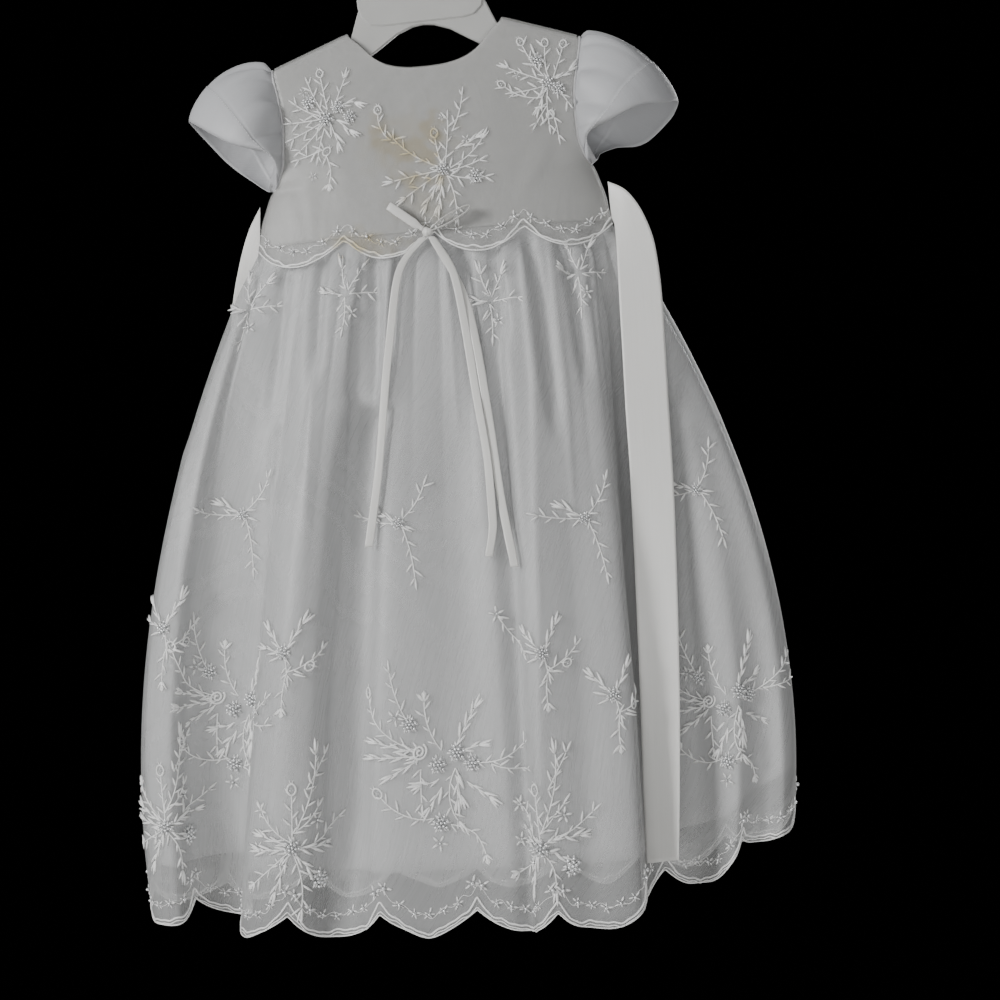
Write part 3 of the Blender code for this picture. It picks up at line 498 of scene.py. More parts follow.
def skirt_points(places, parts, scalloped, length, ripple=True, inset=None):
    """Points of the skirt at places round the ring and parts of the way down each of its columns."""
    waist_x, knee_x, knee_y, hem_x, hem_y, lift = ring(KNOTS, FOLDS, AROUND, places).T
    waist_x = np.clip(waist_x, -WAIST_X, WAIST_X)
    back = np.where(np.mod(places, AROUND) < KNOTS[RIGHT_SEAM], -1, 1)
    lens = (1 - np.abs(waist_x / WAIST_X) ** 2.6) ** LENS
    waist_y = back * (SEAM_GAP / 2 + (WAIST_Y - SEAM_GAP / 2) * lens)
    drop = np.sqrt(SKIRT_LENGTH**2 - (hem_x - waist_x) ** 2 - (hem_y - waist_y) ** 2) - lift
    drop -= SKIRT_LENGTH - length
    reach = length / SKIRT_LENGTH
    front_phase = np.interp(waist_x, FRONT_GATHERS, np.arange(len(FRONT_GATHERS)))
    back_phase = np.interp(waist_x, BACK_GATHERS, np.arange(len(BACK_GATHERS)))
    phase = 2 * math.pi * np.where(back < 0, front_phase, back_phase)
    wave = 2 * np.sqrt(np.abs(np.cos(phase / 2))) - 1
    grid = []
    for part in parts:
        s = part * reach
        at_waist = (s - KNEE) * (s - 1) / KNEE
        at_knee = s * (1 - s) / KNEE / (1 - KNEE)
        at_hem = s * (s - KNEE) / (1 - KNEE)
        x = waist_x * at_waist + knee_x * at_knee + hem_x * at_hem
        y = waist_y * at_waist + knee_y * at_knee + hem_y * at_hem
        down = drop - scalloped * np.clip((part - 0.8) / 0.2, 0, 1)
        grid.append(np.stack([x, y, WAIST_Z - SEAM_GAP - down * part], axis=-1))
    grid = np.array(grid)
    round_it = np.gradient(grid[:, :, :2], axis=1)
    out = unit(np.stack([round_it[..., 1], -round_it[..., 0]], axis=-1))
    for i, part in enumerate(parts):
        s = part * reach
        if ripple:
            grid[i, :, :2] += out[i] * (gather_swell(s) * wave)[:, None]
        if ripple is not None:
            x, z = grid[i, :, 0], grid[i, :, 2]
            folded = np.where(back < 0, creased(x, z, CREASES["front"]), creased(x, z, CREASES["back"]))
            grid[i, :, :2] += out[i] * folded[:, None]
        if inset:
            depth = inset(s)
            scaled = grid[i, :, :2] / np.abs(grid[i, :, :2]).max(axis=0) * (1.7 * depth, 1.25 * depth)
            lower = np.clip(s / 0.07, 0, 1)
            grid[i, :, :2] -= scaled * (1 - lower) + out[i] * depth * lower
    return grid


def even_places(start, end, count):
    """Places between two seams that are evenly apart along the hem."""
    fine = np.linspace(start, end, 4000)
    line = ring(KNOTS, hem_line, AROUND, fine)
    run = np.concatenate([[0], np.cumsum(np.linalg.norm(np.diff(line, axis=0), axis=1))])
    return np.interp(np.linspace(SEAM_GAP / 2, run[-1] - SEAM_GAP / 2, count), run, fine), run[-1]


def skirt_rows(count):
    """Rows down a skirt, closer together in the gathers under the waist."""
    t = np.linspace(0, 1, count)
    return t * (0.35 + 0.65 * t)


SATIN_THICK, NET_THICK = 0.5, 0.3
# Places inside the gown, that the outer faces of its pieces look away from
IN_SKIRT, IN_BODICE = (0, 0, -500), (0, 0, -200)
underskirts = {}
scallop_runs = {}  # of each net with a scalloped edge: how many scallops along it each of its columns is
for panel, (start, end) in PANELS.items():
    places, _ = even_places(start, end, 230)
    grid = skirt_points(places, skirt_rows(72), 0, UNDERSKIRT_LENGTH, ripple=False,
                        inset=lambda s: 1.8 + gather_swell(s) + 1.6 * s)
    underskirts[panel] = cloth(f"underskirt_{panel}_satin", hang(grid), SATIN_THICK, underskirt_satin,
                               f"underskirt_{panel}", outward=IN_SKIRT)


# Net skirt: two gathered panels of embroidered net, its hem cut and corded in scallops.
def net(name, colour, cover, stain_strength=0.0):
    """Sheer crisp net: it covers only a part of what is under it, a little more along its thicker threads,
    and its fine threads make faint watered rings against the satin."""
    material, tree, shader = shader_tree(name, {
        "Roughness": 0.45, "Sheen Weight": 0.5, "Sheen Roughness": 0.3})
    cloth_of = woven(tree, 1100.0, 1100.0, 0.10, 0.04)
    tinted(tree, shader, colour, cloth_of.outputs["Shade"], NET_STAIN, stain_strength)
    ringed = new_node(tree, "ShaderNodeMath", {"operation": "MULTIPLY_ADD", 1: 0.09})
    covering = new_node(tree, "ShaderNodeMath", {"operation": "MULTIPLY", 1: cover})
    tree.links.new(cloth_of.outputs["Moire"], ringed.inputs[0])
    tree.links.new(cloth_of.outputs["Shade"], ringed.inputs[2])
    tree.links.new(ringed.outputs["Value"], covering.inputs[0])
    tree.links.new(covering.outputs["Value"], shader.inputs["Alpha"])
    bumped(tree, shader, cloth_of.outputs["Height"], 0.25, 0.0003)
    return material


skirt_net = net("skirt net", (0.56, 0.565, 0.565), 0.37)
skirts = {}
for panel, (start, end) in PANELS.items():
    _, hem_run = even_places(start, end, 2)
    scallops = round(hem_run / HEM_SCALLOP)
    places, _ = even_places(start, end, 34 * scallops + 1)
    along = np.linspace(0, scallops, len(places))
    uneven = 2.1 + 0.7 * np.sin(2.3 * np.floor(along) + 1)
    rise = HEM_SCALLOP_DEEP * np.abs(2 * np.mod(along, 1) - 1) ** uneven
    rise += 0.8 * np.sin(9 * along + 2 * np.sin(3.1 * along)) * np.sin(math.pi * np.mod(along, 1))
    rise[-1] = HEM_SCALLOP_DEEP
    grid = skirt_points(places, skirt_rows(96), rise, SKIRT_LENGTH)
    skirts[panel] = cloth(f"skirt_{panel}_net", hang(grid), NET_THICK, skirt_net, f"skirt_{panel}",
                          outward=IN_SKIRT)
    scallop_runs[f"skirt_{panel}_net"] = along


# Bodice: a satin front and two satin backs, joined at the shoulders and down the sides.
UNDERARM_Z, SHOULDER_Z, SHOULDER_X = -228.0, -133.0, 115.0
NECK_X, NECK_Z, TURN = 58.5, -112.7, 5.0
NECKLINE = [(0, -144.5), (10, -144.2), (20, -142.8), (29, -139.9), (37, -135.0), (44, -128.2),
            (50, -121.5), (54.5, -116.8), (58.5, -112.7)]
EDGE = [(-268.5, 131), (-252, 128.5), (-241, 125), (-228, 120), (-219, 114), (-204, 109.5),
        (-179, 108.3), (-157, 111), (-133, 115), (-110, 115)]
CENTRE_DEPTH = [(-268.5, 24), (-229, 22.5), (-179, 17), (-149, 10.5), (-134, 7.5), (-113, 5.5)]
EDGE_DEPTH = [(-268.5, 0.15), (-228, 0.15), (-219, 5.5), (-204, 8.5), (-179, 9.5), (-157, 7.5),
              (-143, 5.5), (-138, 4.6), (-133, 4.4), (-112, 4.4)]


BODICE_CREASES = {
    -1: [
        ([(92, -205), (80, -226), (58, -256)], 7, 1.1, 0),
        ([(-110, -222), (-104, -245), (-99, -266)], 6, 1.0, 0),
        ([(-93, -215), (-90, -266)], 5, 0.8, 0),
        ([(-22, -152), (-30, -222)], 14, -0.8, 0),
        ([(40, -160), (54, -226)], 12, 0.7, 0),
        ([(102, -180), (84, -238)], 8, -0.9, 0),
        ([(-72, -195), (-60, -264)], 10, 0.8, 0),
        ([(12, -215), (20, -264)], 9, 0.6, 0),
    ],
    1: [
        ([(86, -170), (94, -232)], 9, -1.0, 0),
        ([(60, -205), (52, -262)], 8, 0.9, 0),
        ([(-30, -165), (-42, -240)], 12, 0.8, 0),
        ([(-84, -175), (-92, -236)], 8, -0.9, 0),
        ([(-64, -215), (-58, -264)], 7, 0.8, 0),
        ([(22, -190), (28, -250)], 10, -0.6, 0),
    ],
}


def bodice_points(across, fractions, side, neck_drop=0.0, inset=0.0):
    """Points of the bodice: one column for each distance from the middle at the top edge, one row for
    each part of the way up to where the cloth turns over the shoulder, and rows round that turn."""
    u = np.asarray(across, float) / SHOULDER_X
    x_top = np.abs(np.asarray(across, float))
    x_line = x_top * (1 - inset * np.abs(u) ** 4 / SHOULDER_X)
    shoulder = NECK_Z + (SHOULDER_Z - NECK_Z) * (x_line - NECK_X) / (SHOULDER_X - NECK_X)
    drop = neck_drop * np.clip((NECK_X - x_top) / 12, 0, 1)
    top = np.where(x_top < NECK_X, curve(NECKLINE, x_top) - drop, shoulder)
    rows = [WAIST_Z + (top - TURN - WAIST_Z) * f for f in fractions]
    rows += [top - TURN * f for f in (0.75, 0.5, 0.3, 0.16, 0.05, 0)]
    z = np.stack(rows)
    edge = curve(EDGE, z)
    under = np.clip((z - UNDERARM_Z) / 8, 0, 1)
    u = u * (1 - inset * under * np.abs(u) ** 4 / edge)
    x = u * edge
    side_depth = curve(EDGE_DEPTH, z)
    depth = side_depth + (curve(CENTRE_DEPTH, z) - side_depth) * (1 - np.minimum(np.abs(u), 1) ** 2.6) ** LENS
    gathers = 0.45 * np.cos(0.85 * x + 2 * np.sin(0.11 * x)) * np.exp(-(z - WAIST_Z) / 7)
    depth += (creased(x, z, BODICE_CREASES[side]) + gathers) * (1 - np.abs(u)) ** 0.3
    turned = np.clip((top - z) / TURN, 0, 1)
    over = SEAM_GAP / 2 + (depth - SEAM_GAP / 2) * np.sqrt(1 - (1 - turned) ** 2)
    depth = np.where(x_top >= NECK_X - 0.01, over, depth)
    return np.stack([x, side * depth, z], axis=-1)


bodice_satin = satin("bodice satin", (0.51, 0.51, 0.50), stain_strength=0.6)
half_across = np.concatenate([np.linspace(0.15, 50, 30), [54.5, 58.5], np.linspace(62, 111.5, 28),
                              [113.5, 115]])
front_across = np.concatenate([-half_across[::-1], [0], half_across])
back_across = {"left": -half_across[::-1], "right": half_across}
upward = np.linspace(0, 1, 54)
bodice_front = cloth("bodice_front_satin", hang(bodice_points(front_across, upward, -1)), SATIN_THICK,
                     bodice_satin, "bodice_front", outward=IN_BODICE)
bodice_backs = {}
for hand, across in back_across.items():
    grid = hang(bodice_points(across, upward, 1, neck_drop=3))
    bodice_backs[hand] = cloth(f"bodice_back_{hand}_satin", grid, SATIN_THICK, bodice_satin,
                               f"bodice_back_{hand}", outward=IN_BODICE)


# Net layer of the bodice: embroidered net over the satin, its corded scallops falling over the waist.
WAIST_SCALLOP_DEEP = 17.0
NET_ABOVE = 1.65


def overlay_points(across, side, neck_drop=0.0):
    """The net lies just off the satin down to the waist, then just off the gathers of the skirt."""
    rows = np.linspace(0.06, 1, 50)
    on_bodice = bodice_points(across, rows, side, neck_drop, inset=1.8)
    normals = grid_normals(on_bodice)
    normals *= np.sign(normals[:, :, 1].sum() * side)
    on_bodice = on_bodice + normals * NET_ABOVE
    fine = np.linspace(*(PANELS["front"] if side < 0 else PANELS["back"]), 4000)[1:-1]
    waist = ring(KNOTS, FOLDS, AROUND, fine)[:, 0]
    order = np.argsort(waist)
    places = np.interp(np.asarray(across) / SHOULDER_X * (WAIST_X - 0.2), waist[order], fine[order])
    part = np.mod(np.asarray(across) / SHOULDER_X * 2, 1)
    rise = WAIST_SCALLOP_DEEP * (2 * part - 1) ** 2
    lower = []
    for share in (1, 0.8, 0.6, 0.4, 0.2, 0.0):
        below = ((WAIST_SCALLOP_DEEP - rise) * share + 1.5) / SKIRT_LENGTH
        row = []
        for place, s in zip(places, below):
            beside = np.array([place - 0.5, place, place + 0.5])
            base = skirt_points(beside, [s], 0, SKIRT_LENGTH, ripple=None)[0]
            way = base[2] - base[0]
            out = unit(np.array([way[1], -way[0], 0]))
            row.append(base[1] + out * (1.8 + gather_swell(s)))
        lower.append(row)
    return np.concatenate([np.array(lower), on_bodice])


bodice_net = net("bodice net", (0.53, 0.53, 0.515), 0.30, stain_strength=0.85)
overlay_front = cloth("overlay_front_net", hang(overlay_points(front_across, -1)), NET_THICK, bodice_net,
                      "overlay_front", outward=IN_BODICE)
scallop_runs["overlay_front_net"] = front_across / SHOULDER_X * 2 + 2
overlay_backs = {}
for hand, across in back_across.items():
    grid = hang(overlay_points(across, 1, neck_drop=3))
    overlay_backs[hand] = cloth(f"overlay_back_{hand}_net", grid, NET_THICK, bodice_net,
                                f"overlay_back_{hand}", outward=IN_BODICE)
    scallop_runs[f"overlay_back_{hand}_net"] = across / SHOULDER_X * 2 + (2 if hand == "left" else 0)


# Sleeves: plain cloth caps gathered into the armholes, their wide hems folded in and stitched.
SLEEVE_HEMS = {
    "left": [(0.0, -180, 0, -174), (0.1, -164, -16, -186), (0.2, -147, -25, -197),
             (0.3, -131, -25, -202), (0.4, -115.5, -14, -207), (0.5, -122.5, -1, -224),
             (0.6, -124, 9, -227), (0.72, -136, 18, -218), (0.86, -156, 20, -202), (0.94, -172, 12, -184)],
    "right": [(0.0, 187, 0, -178), (0.1, 176, -15, -182), (0.2, 156, -25, -185), (0.3, 133, -27, -195),
              (0.4, 116.5, -15, -202), (0.5, 123.0, -1, -217), (0.6, 128, 9, -211),
              (0.72, 141, 20, -205), (0.86, 163, 20, -203), (0.94, 182, 10, -188)],
}
sleeve_cloth = satin("sleeve cloth", (0.47, 0.475, 0.49), rough=0.5, streak=0.03, sheen=0.25)
sleeves, armholes, sleeve_hems = {}, {}, {}
for hand, side in (("left", -1), ("right", 1)):
    around = np.arange(128) / 128
    turn = 2 * math.pi * around
    z = UNDERARM_Z + 3.4 + (SHOULDER_Z - UNDERARM_Z - 3.4) * (1 + np.cos(turn)) / 2
    turned = np.clip((SHOULDER_Z - z) / TURN, 0, 1)
    y = np.where(around < 0.5, -1, 1) * curve(EDGE_DEPTH, z) * np.sqrt(1 - (1 - turned) ** 2)
    y[0] = 0
    seam = hang(np.stack([side * (curve(EDGE, z) + 0.95), y, z], axis=-1))
    table = np.array(SLEEVE_HEMS[hand], float)
    opening = ring(table[:, 0], table[:, 1:], 1.0, around)
    up = np.clip(np.cos(turn), 0, 1) ** 0.8
    bulge = np.stack([side * 5 * up, -9 * np.sin(turn), 17 * up], axis=-1)
    gathers = 7.0 * np.abs(np.cos(6.5 * turn + 0.4)) ** 0.6 - 4.6 + 2.2 * np.cos(9 * turn + 1)
    slack = np.cos(5 * turn + (0.8 if side < 0 else 2.3)) + 0.5 * np.cos(8 * turn + 2)
    out = unit(np.stack([0 * around, -np.sin(turn), np.cos(turn)], axis=-1))
    rows = []
    for v in np.linspace(0, 1, 56):
        swell = (4 * v * (1 - v)) ** 0.75
        ripple = gathers * min(1, v / 0.06) * math.exp(-v / 0.3) + 2.3 * slack * swell * (1 - v)
        hem_step = 0.3 * np.clip((v - 0.68) / 0.03, 0, 1) - 0.25 * math.exp(-(((v - 0.67) / 0.025) ** 2))
        ripple = (ripple + hem_step)[:, None] * out
        rows.append(seam * (1 - v) + opening * v + bulge * swell + ripple)
    grid = np.array(rows)
    armholes[hand] = seam - [0.5 * side, 0, 0] + 0.5 * out
    sleeve_hems[hand] = (grid[int(0.71 * 56)] + 0.5 * out, out)
    sleeves[hand] = cloth(f"sleeve_{hand}_cloth", grid, 0.6, sleeve_cloth, f"sleeve_{hand}",
                          outward=grid.mean(axis=(0, 1)), closed=True)


# Sash: two long satin ribbons sewn into the side seams, hanging loose.
SASHES = {
    "right": [
        (132.4, -2.2, -262, 131.0, -2.2, -235), (134.0, -9, -270, 142.0, -8, -242),
        (134.0, -15, -284, 154.0, -14, -260), (133.6, -20, -304, 162.5, -19, -290),
        (133.2, -25, -340, 165.0, -23, -332), (133.2, -28, -400, 165.2, -26, -398),
        (134.0, -29, -460, 165.4, -29, -460), (133.6, -29, -540, 163.8, -32, -540),
        (132.8, -28, -620, 160.6, -38, -620), (131.8, -26, -690, 156.4, -42, -690),
        (131.6, -25, -741, 153.2, -44, -735),
    ],
    "left": [
        (-132.0, 1.9, -266, -130.5, 1.9, -240), (-135.0, 9, -278, -141.0, 9, -256),
        (-136.0, 18, -298, -151.0, 16, -282), (-135.0, 30, -330, -160.0, 27, -316),
        (-135.0, 43, -380, -165.0, 36, -370), (-136.0, 59, -460, -167.0, 53, -455),
        (-136.0, 72, -560, -166.0, 68, -560), (-135.0, 80, -660, -165.0, 78, -660),
        (-134.0, 84, -735, -164.0, 82, -742),
    ],
}
sash_satin = satin("sash satin", (0.80, 0.795, 0.77), rough=0.3, streak=0.04, sheen=0.2)
sashes = {}
for hand, rows in SASHES.items():
    rows = np.array(rows, float)
    part = np.linspace(0, 1, len(rows))
    edges = np.stack([curve(list(zip(part, rows[:, i])), np.linspace(0, 1, 150)) for i in range(6)], axis=-1)
    share = np.linspace(0, 1, 17)[None, :, None]
    grid = edges[:, None, :3] * (1 - share) + edges[:, None, 3:] * share
    sashes[hand] = cloth(f"sash_{hand}_ribbon", grid, 0.35, sash_satin, f"sash_{hand}",
                         outward=(0, 200, -500))


# Embroidery: silky white thread and silvery glass beads worked on the net before it was cut. Each spray is
# leafy stems in fine cord stitch, padded satin-stitch leaves, five-petalled stars, rings and beaded flowers.
thread = mottled("embroidery thread", (0.96, 0.96, 0.95), 1900.0, 2.0, (0.86, 1.08),
                 {"Roughness": 0.3, "Sheen Weight": 0.5}, stain_strength=1.0, bump=(0.35, 0.0003))
glass_bead = mottled("silvery bead", (0.88, 0.89, 0.90), 700.0, 1.0, (0.85, 1.05),
                     {"Metallic": 0.5, "Roughness": 0.15, "Coat Weight": 0.6})


def read_panel(panel, rows, columns):
    """Places and normals of a panel at rows and columns between those of its grid."""
    grid, normals = panel[:2]
    a, b = np.minimum(rows.astype(int), len(grid) - 2), np.minimum(columns.astype(int), grid.shape[1] - 2)
    f, g = (rows - a)[:, None], (columns - b)[:, None]
    places, outs = [
        (t[a, b] * (1 - f) + t[a + 1, b] * f) * (1 - g) + (t[a, b + 1] * (1 - f) + t[a + 1, b + 1] * f) * g
        for t in (grid, normals)
    ]
    return places, unit(outs)


def above_edge(panel, columns, heights):
    """Places so many millimetres above the lower edge of a panel, at its columns, with their normals."""
    down = panel[3]
    rows = []
    for column, height in zip(columns, heights):
        b = min(int(column), down.shape[1] - 2)
        line = down[:, b] + (down[:, b + 1] - down[:, b]) * (column - b)
        rows.append(np.interp(line[-1] - height, line, np.arange(len(line))))
    return read_panel(panel, np.array(rows), np.asarray(columns, float))


def on_cloth(panel, hub, right, up):
    """Places on a panel, millimetres to the right of a hub and up from it as the cloth lies flat, with
    their normals and whether each is inside the panel."""
    grid, normals, across, down = panel
    i, j = hub
    rows = np.interp(down[i, j] - np.asarray(up, float), down[:, j], np.arange(len(down)))
    columns, inside = [], []
    for row, shift in zip(rows, np.asarray(right, float)):
        low = min(int(row), len(grid) - 2)
        line = across[low] + (across[low + 1] - across[low]) * (row - low)
        at = line[j] + shift
        columns.append(np.interp(at, line, np.arange(len(line))))
        inside.append(line[0] + 1.5 < at < line[-1] - 1.5)
    return *read_panel(panel, rows, np.array(columns)), np.array(inside)


def hub_at(panel, x, z):
    """Row and column of a panel nearest to a place seen from straight in front or behind."""
    grid = panel[0]
    away = np.hypot(grid[..., 0] - x, grid[..., 2] - z)
    return np.unravel_index(np.argmin(away), away.shape)


def padded_leaf(width, height, profile=((0.12, 0.55), (0.35, 1.0), (0.62, 0.92), (0.86, 0.5))):
    """A satin-stitch leaf, one long from its foot at the origin along X."""
    made = bmesh.new()
    rings = []
    for t, share in profile:
        rings.append([made.verts.new((t, y * width / 2 * share, z * height * share))
                      for y, z in ((-1, 0), (0, 1), (1, 0))])
    foot, tip = made.verts.new((0, 0, 0)), made.verts.new((1, 0, 0))
    for a, b in zip(rings, rings[1:]):
        for k in range(3):
            made.faces.new((a[k], a[(k + 1) % 3], b[(k + 1) % 3], b[k]))
    for k in range(3):
        made.faces.new((foot, rings[0][(k + 1) % 3], rings[0][k]))
        made.faces.new((tip, rings[-1][k], rings[-1][(k + 1) % 3]))
    return made


def turned_copy(whole, part, turn=0.0, size=1.0, place=(0, 0, 0)):
    """Adds a turned, sized and moved copy of a part to a whole motif."""
    c, s = math.cos(turn), math.sin(turn)
    new = [whole.verts.new((place[0] + size * (v.co.x * c - v.co.y * s),
                            place[1] + size * (v.co.x * s + v.co.y * c), place[2] + size * v.co.z))
           for v in part.verts]
    part.verts.index_update()
    for face in part.faces:
        whole.faces.new([new[v.index] for v in face.verts])


def cord_ring(points, radius, closed=True):
    """A stitched cord along flat points."""
    made = bmesh.new()
    points = [Vector((x, y, radius * 0.6)) for x, y in points]
    rings = []
    for k, p in enumerate(points):
        before = points[k - 1] if closed or k else points[0]
        after = points[(k + 1) % len(points)] if closed or k < len(points) - 1 else points[-1]
        way = (after - before).normalized()
        side = Vector((-way.y, way.x, 0))
        rings.append([made.verts.new(p + radius * (side * math.cos(q) + Vector((0, 0, 1)) * math.sin(q)))
                      for q in (0, math.pi / 2, math.pi, 1.5 * math.pi)])
    pairs = list(zip(rings, rings[1:] + rings[:1])) if closed else list(zip(rings, rings[1:]))
    for a, b in pairs:
        for k in range(4):
            made.faces.new((a[k], a[(k + 1) % 4], b[(k + 1) % 4], b[k]))
    if not closed:
        made.faces.new(rings[0])
        made.faces.new(rings[-1][::-1])
    return made


def bead(radius, place=(0, 0, 0)):
    made = bmesh.new()
    bmesh.ops.create_uvsphere(made, u_segments=6, v_segments=4, radius=radius)
    bmesh.ops.translate(made, verts=made.verts, vec=place)
    return made


def motif_object(name, parts):
    """A source for the needlework trees: bmesh parts, each with turn, size and place."""
    whole = bmesh.new()
    for part, turn, size, place in parts:
        turned_copy(whole, part, turn, size, place)
    bmesh.ops.recalc_face_normals(whole, faces=whole.faces)
    mesh = bpy.data.meshes.new(name)
    whole.to_mesh(mesh)
    whole.free()
    mesh.polygons.foreach_set("use_smooth", [True] * len(mesh.polygons))
    return bpy.data.objects.new(name, mesh)


def polar(radius, angle, up=0.0):
    return radius * math.cos(angle), radius * math.sin(angle), up


def turns(count):
    """So many headings evenly round a full turn."""
    return np.arange(count) / count * 2 * math.pi


leaf_part, fat_leaf = padded_leaf(0.20, 0.12), padded_leaf(0.30, 0.14)
petal = padded_leaf(0.34, 0.17, ((0.4, 0.9), (0.78, 0.75)))
small_bead = bead(0.09)
MIDDLE = (0, 0, 0)
circle = [(math.cos(a), math.sin(a)) for a in turns(14)]
coil = [((0.12 + 0.068 * a) * math.cos(a), (0.12 + 0.068 * a) * math.sin(a) * 0.85)
        for a in np.linspace(0, 4 * math.pi, 34)]
fifth = 2 * math.pi / 5
MOTIFS = {  # each is one long or one across, to be sized in millimetres where it is placed
    "leaf": [(leaf_part, 0, 1, MIDDLE)],
    "thick": [(leaf_part, 0.10, 1, (0, 0.02, 0)), (leaf_part, -0.13, 0.8, (0.06, -0.02, 0))],
    "star": [(petal, k * fifth, 0.5, polar(0.04, k * fifth)) for k in range(5)],
    "small star": [(petal, k * fifth + 0.25 * (k % 2), share, polar(0.05, k * fifth))
                   for k, share in enumerate((0.52, 0.36, 0.47, 0.3, 0.42))],
    "ring": [(cord_ring([(0.5 + 0.42 * x, 0.32 * y) for x, y in circle], 0.07), 0, 1, MIDDLE)]
    + [(leaf_part, a, 0.55, (0.05, 0, 0)) for a in (0.95, -0.95)]
    + [(leaf_part, a, 0.4, (0.85, 0, 0)) for a in (0.5, -0.4)],
    "tulip": [(fat_leaf, a, r, MIDDLE) for a, r in ((-0.62, 0.85), (0.62, 0.85), (0.0, 1.0))]
    + [(cord_ring([(0.62 + 0.17 * x, 0.16 * y) for x, y in circle], 0.06), 0, 1, MIDDLE)],
    "spiral": [(cord_ring([(0.5 * x, 0.5 * y) for x, y in coil], 0.06, closed=False), 0, 1, MIDDLE)]
    + [(fat_leaf, a, 0.45, (-0.3, 0, 0)) for a in (2.2, 2.9, 3.6)],
    "cluster": [(petal, a + 0.3 * math.sin(5 * a), 0.34 + 0.06 * math.sin(3 * a), polar(0.2, a))
                for a in turns(11)]
    + [(petal, a, 0.26, polar(0.08, a, 0.07)) for a in (0.4, 1.7, 2.9, 4.1, 5.4)],
}
BEADING = {  # the beads sewn on a motif of one across
    "cluster": [(small_bead, 0, 1, (0, 0, 0.13))]
    + [(small_bead, 0, 1, polar(0.19, a, 0.11)) for a in turns(6)]
    + [(small_bead, 0, 1, polar(0.36, a, 0.09)) for a in turns(7)],
    "star": [(bead(0.08), 0, 1, (0, 0, 0.07))],
    "small star": [(bead(0.13), 0, 1, (0, 0, 0.12))],
    "ring": [(small_bead, 0, 0.8, (0.5 + 0.1 * x, 0.1 * y, 0.06)) for x, y in circle[::5]],
}
MOTIFS = {kind: motif_object(kind, parts) for kind, parts in MOTIFS.items()}
BEADING = {kind: motif_object(kind + " beads", parts) for kind, parts in BEADING.items()}

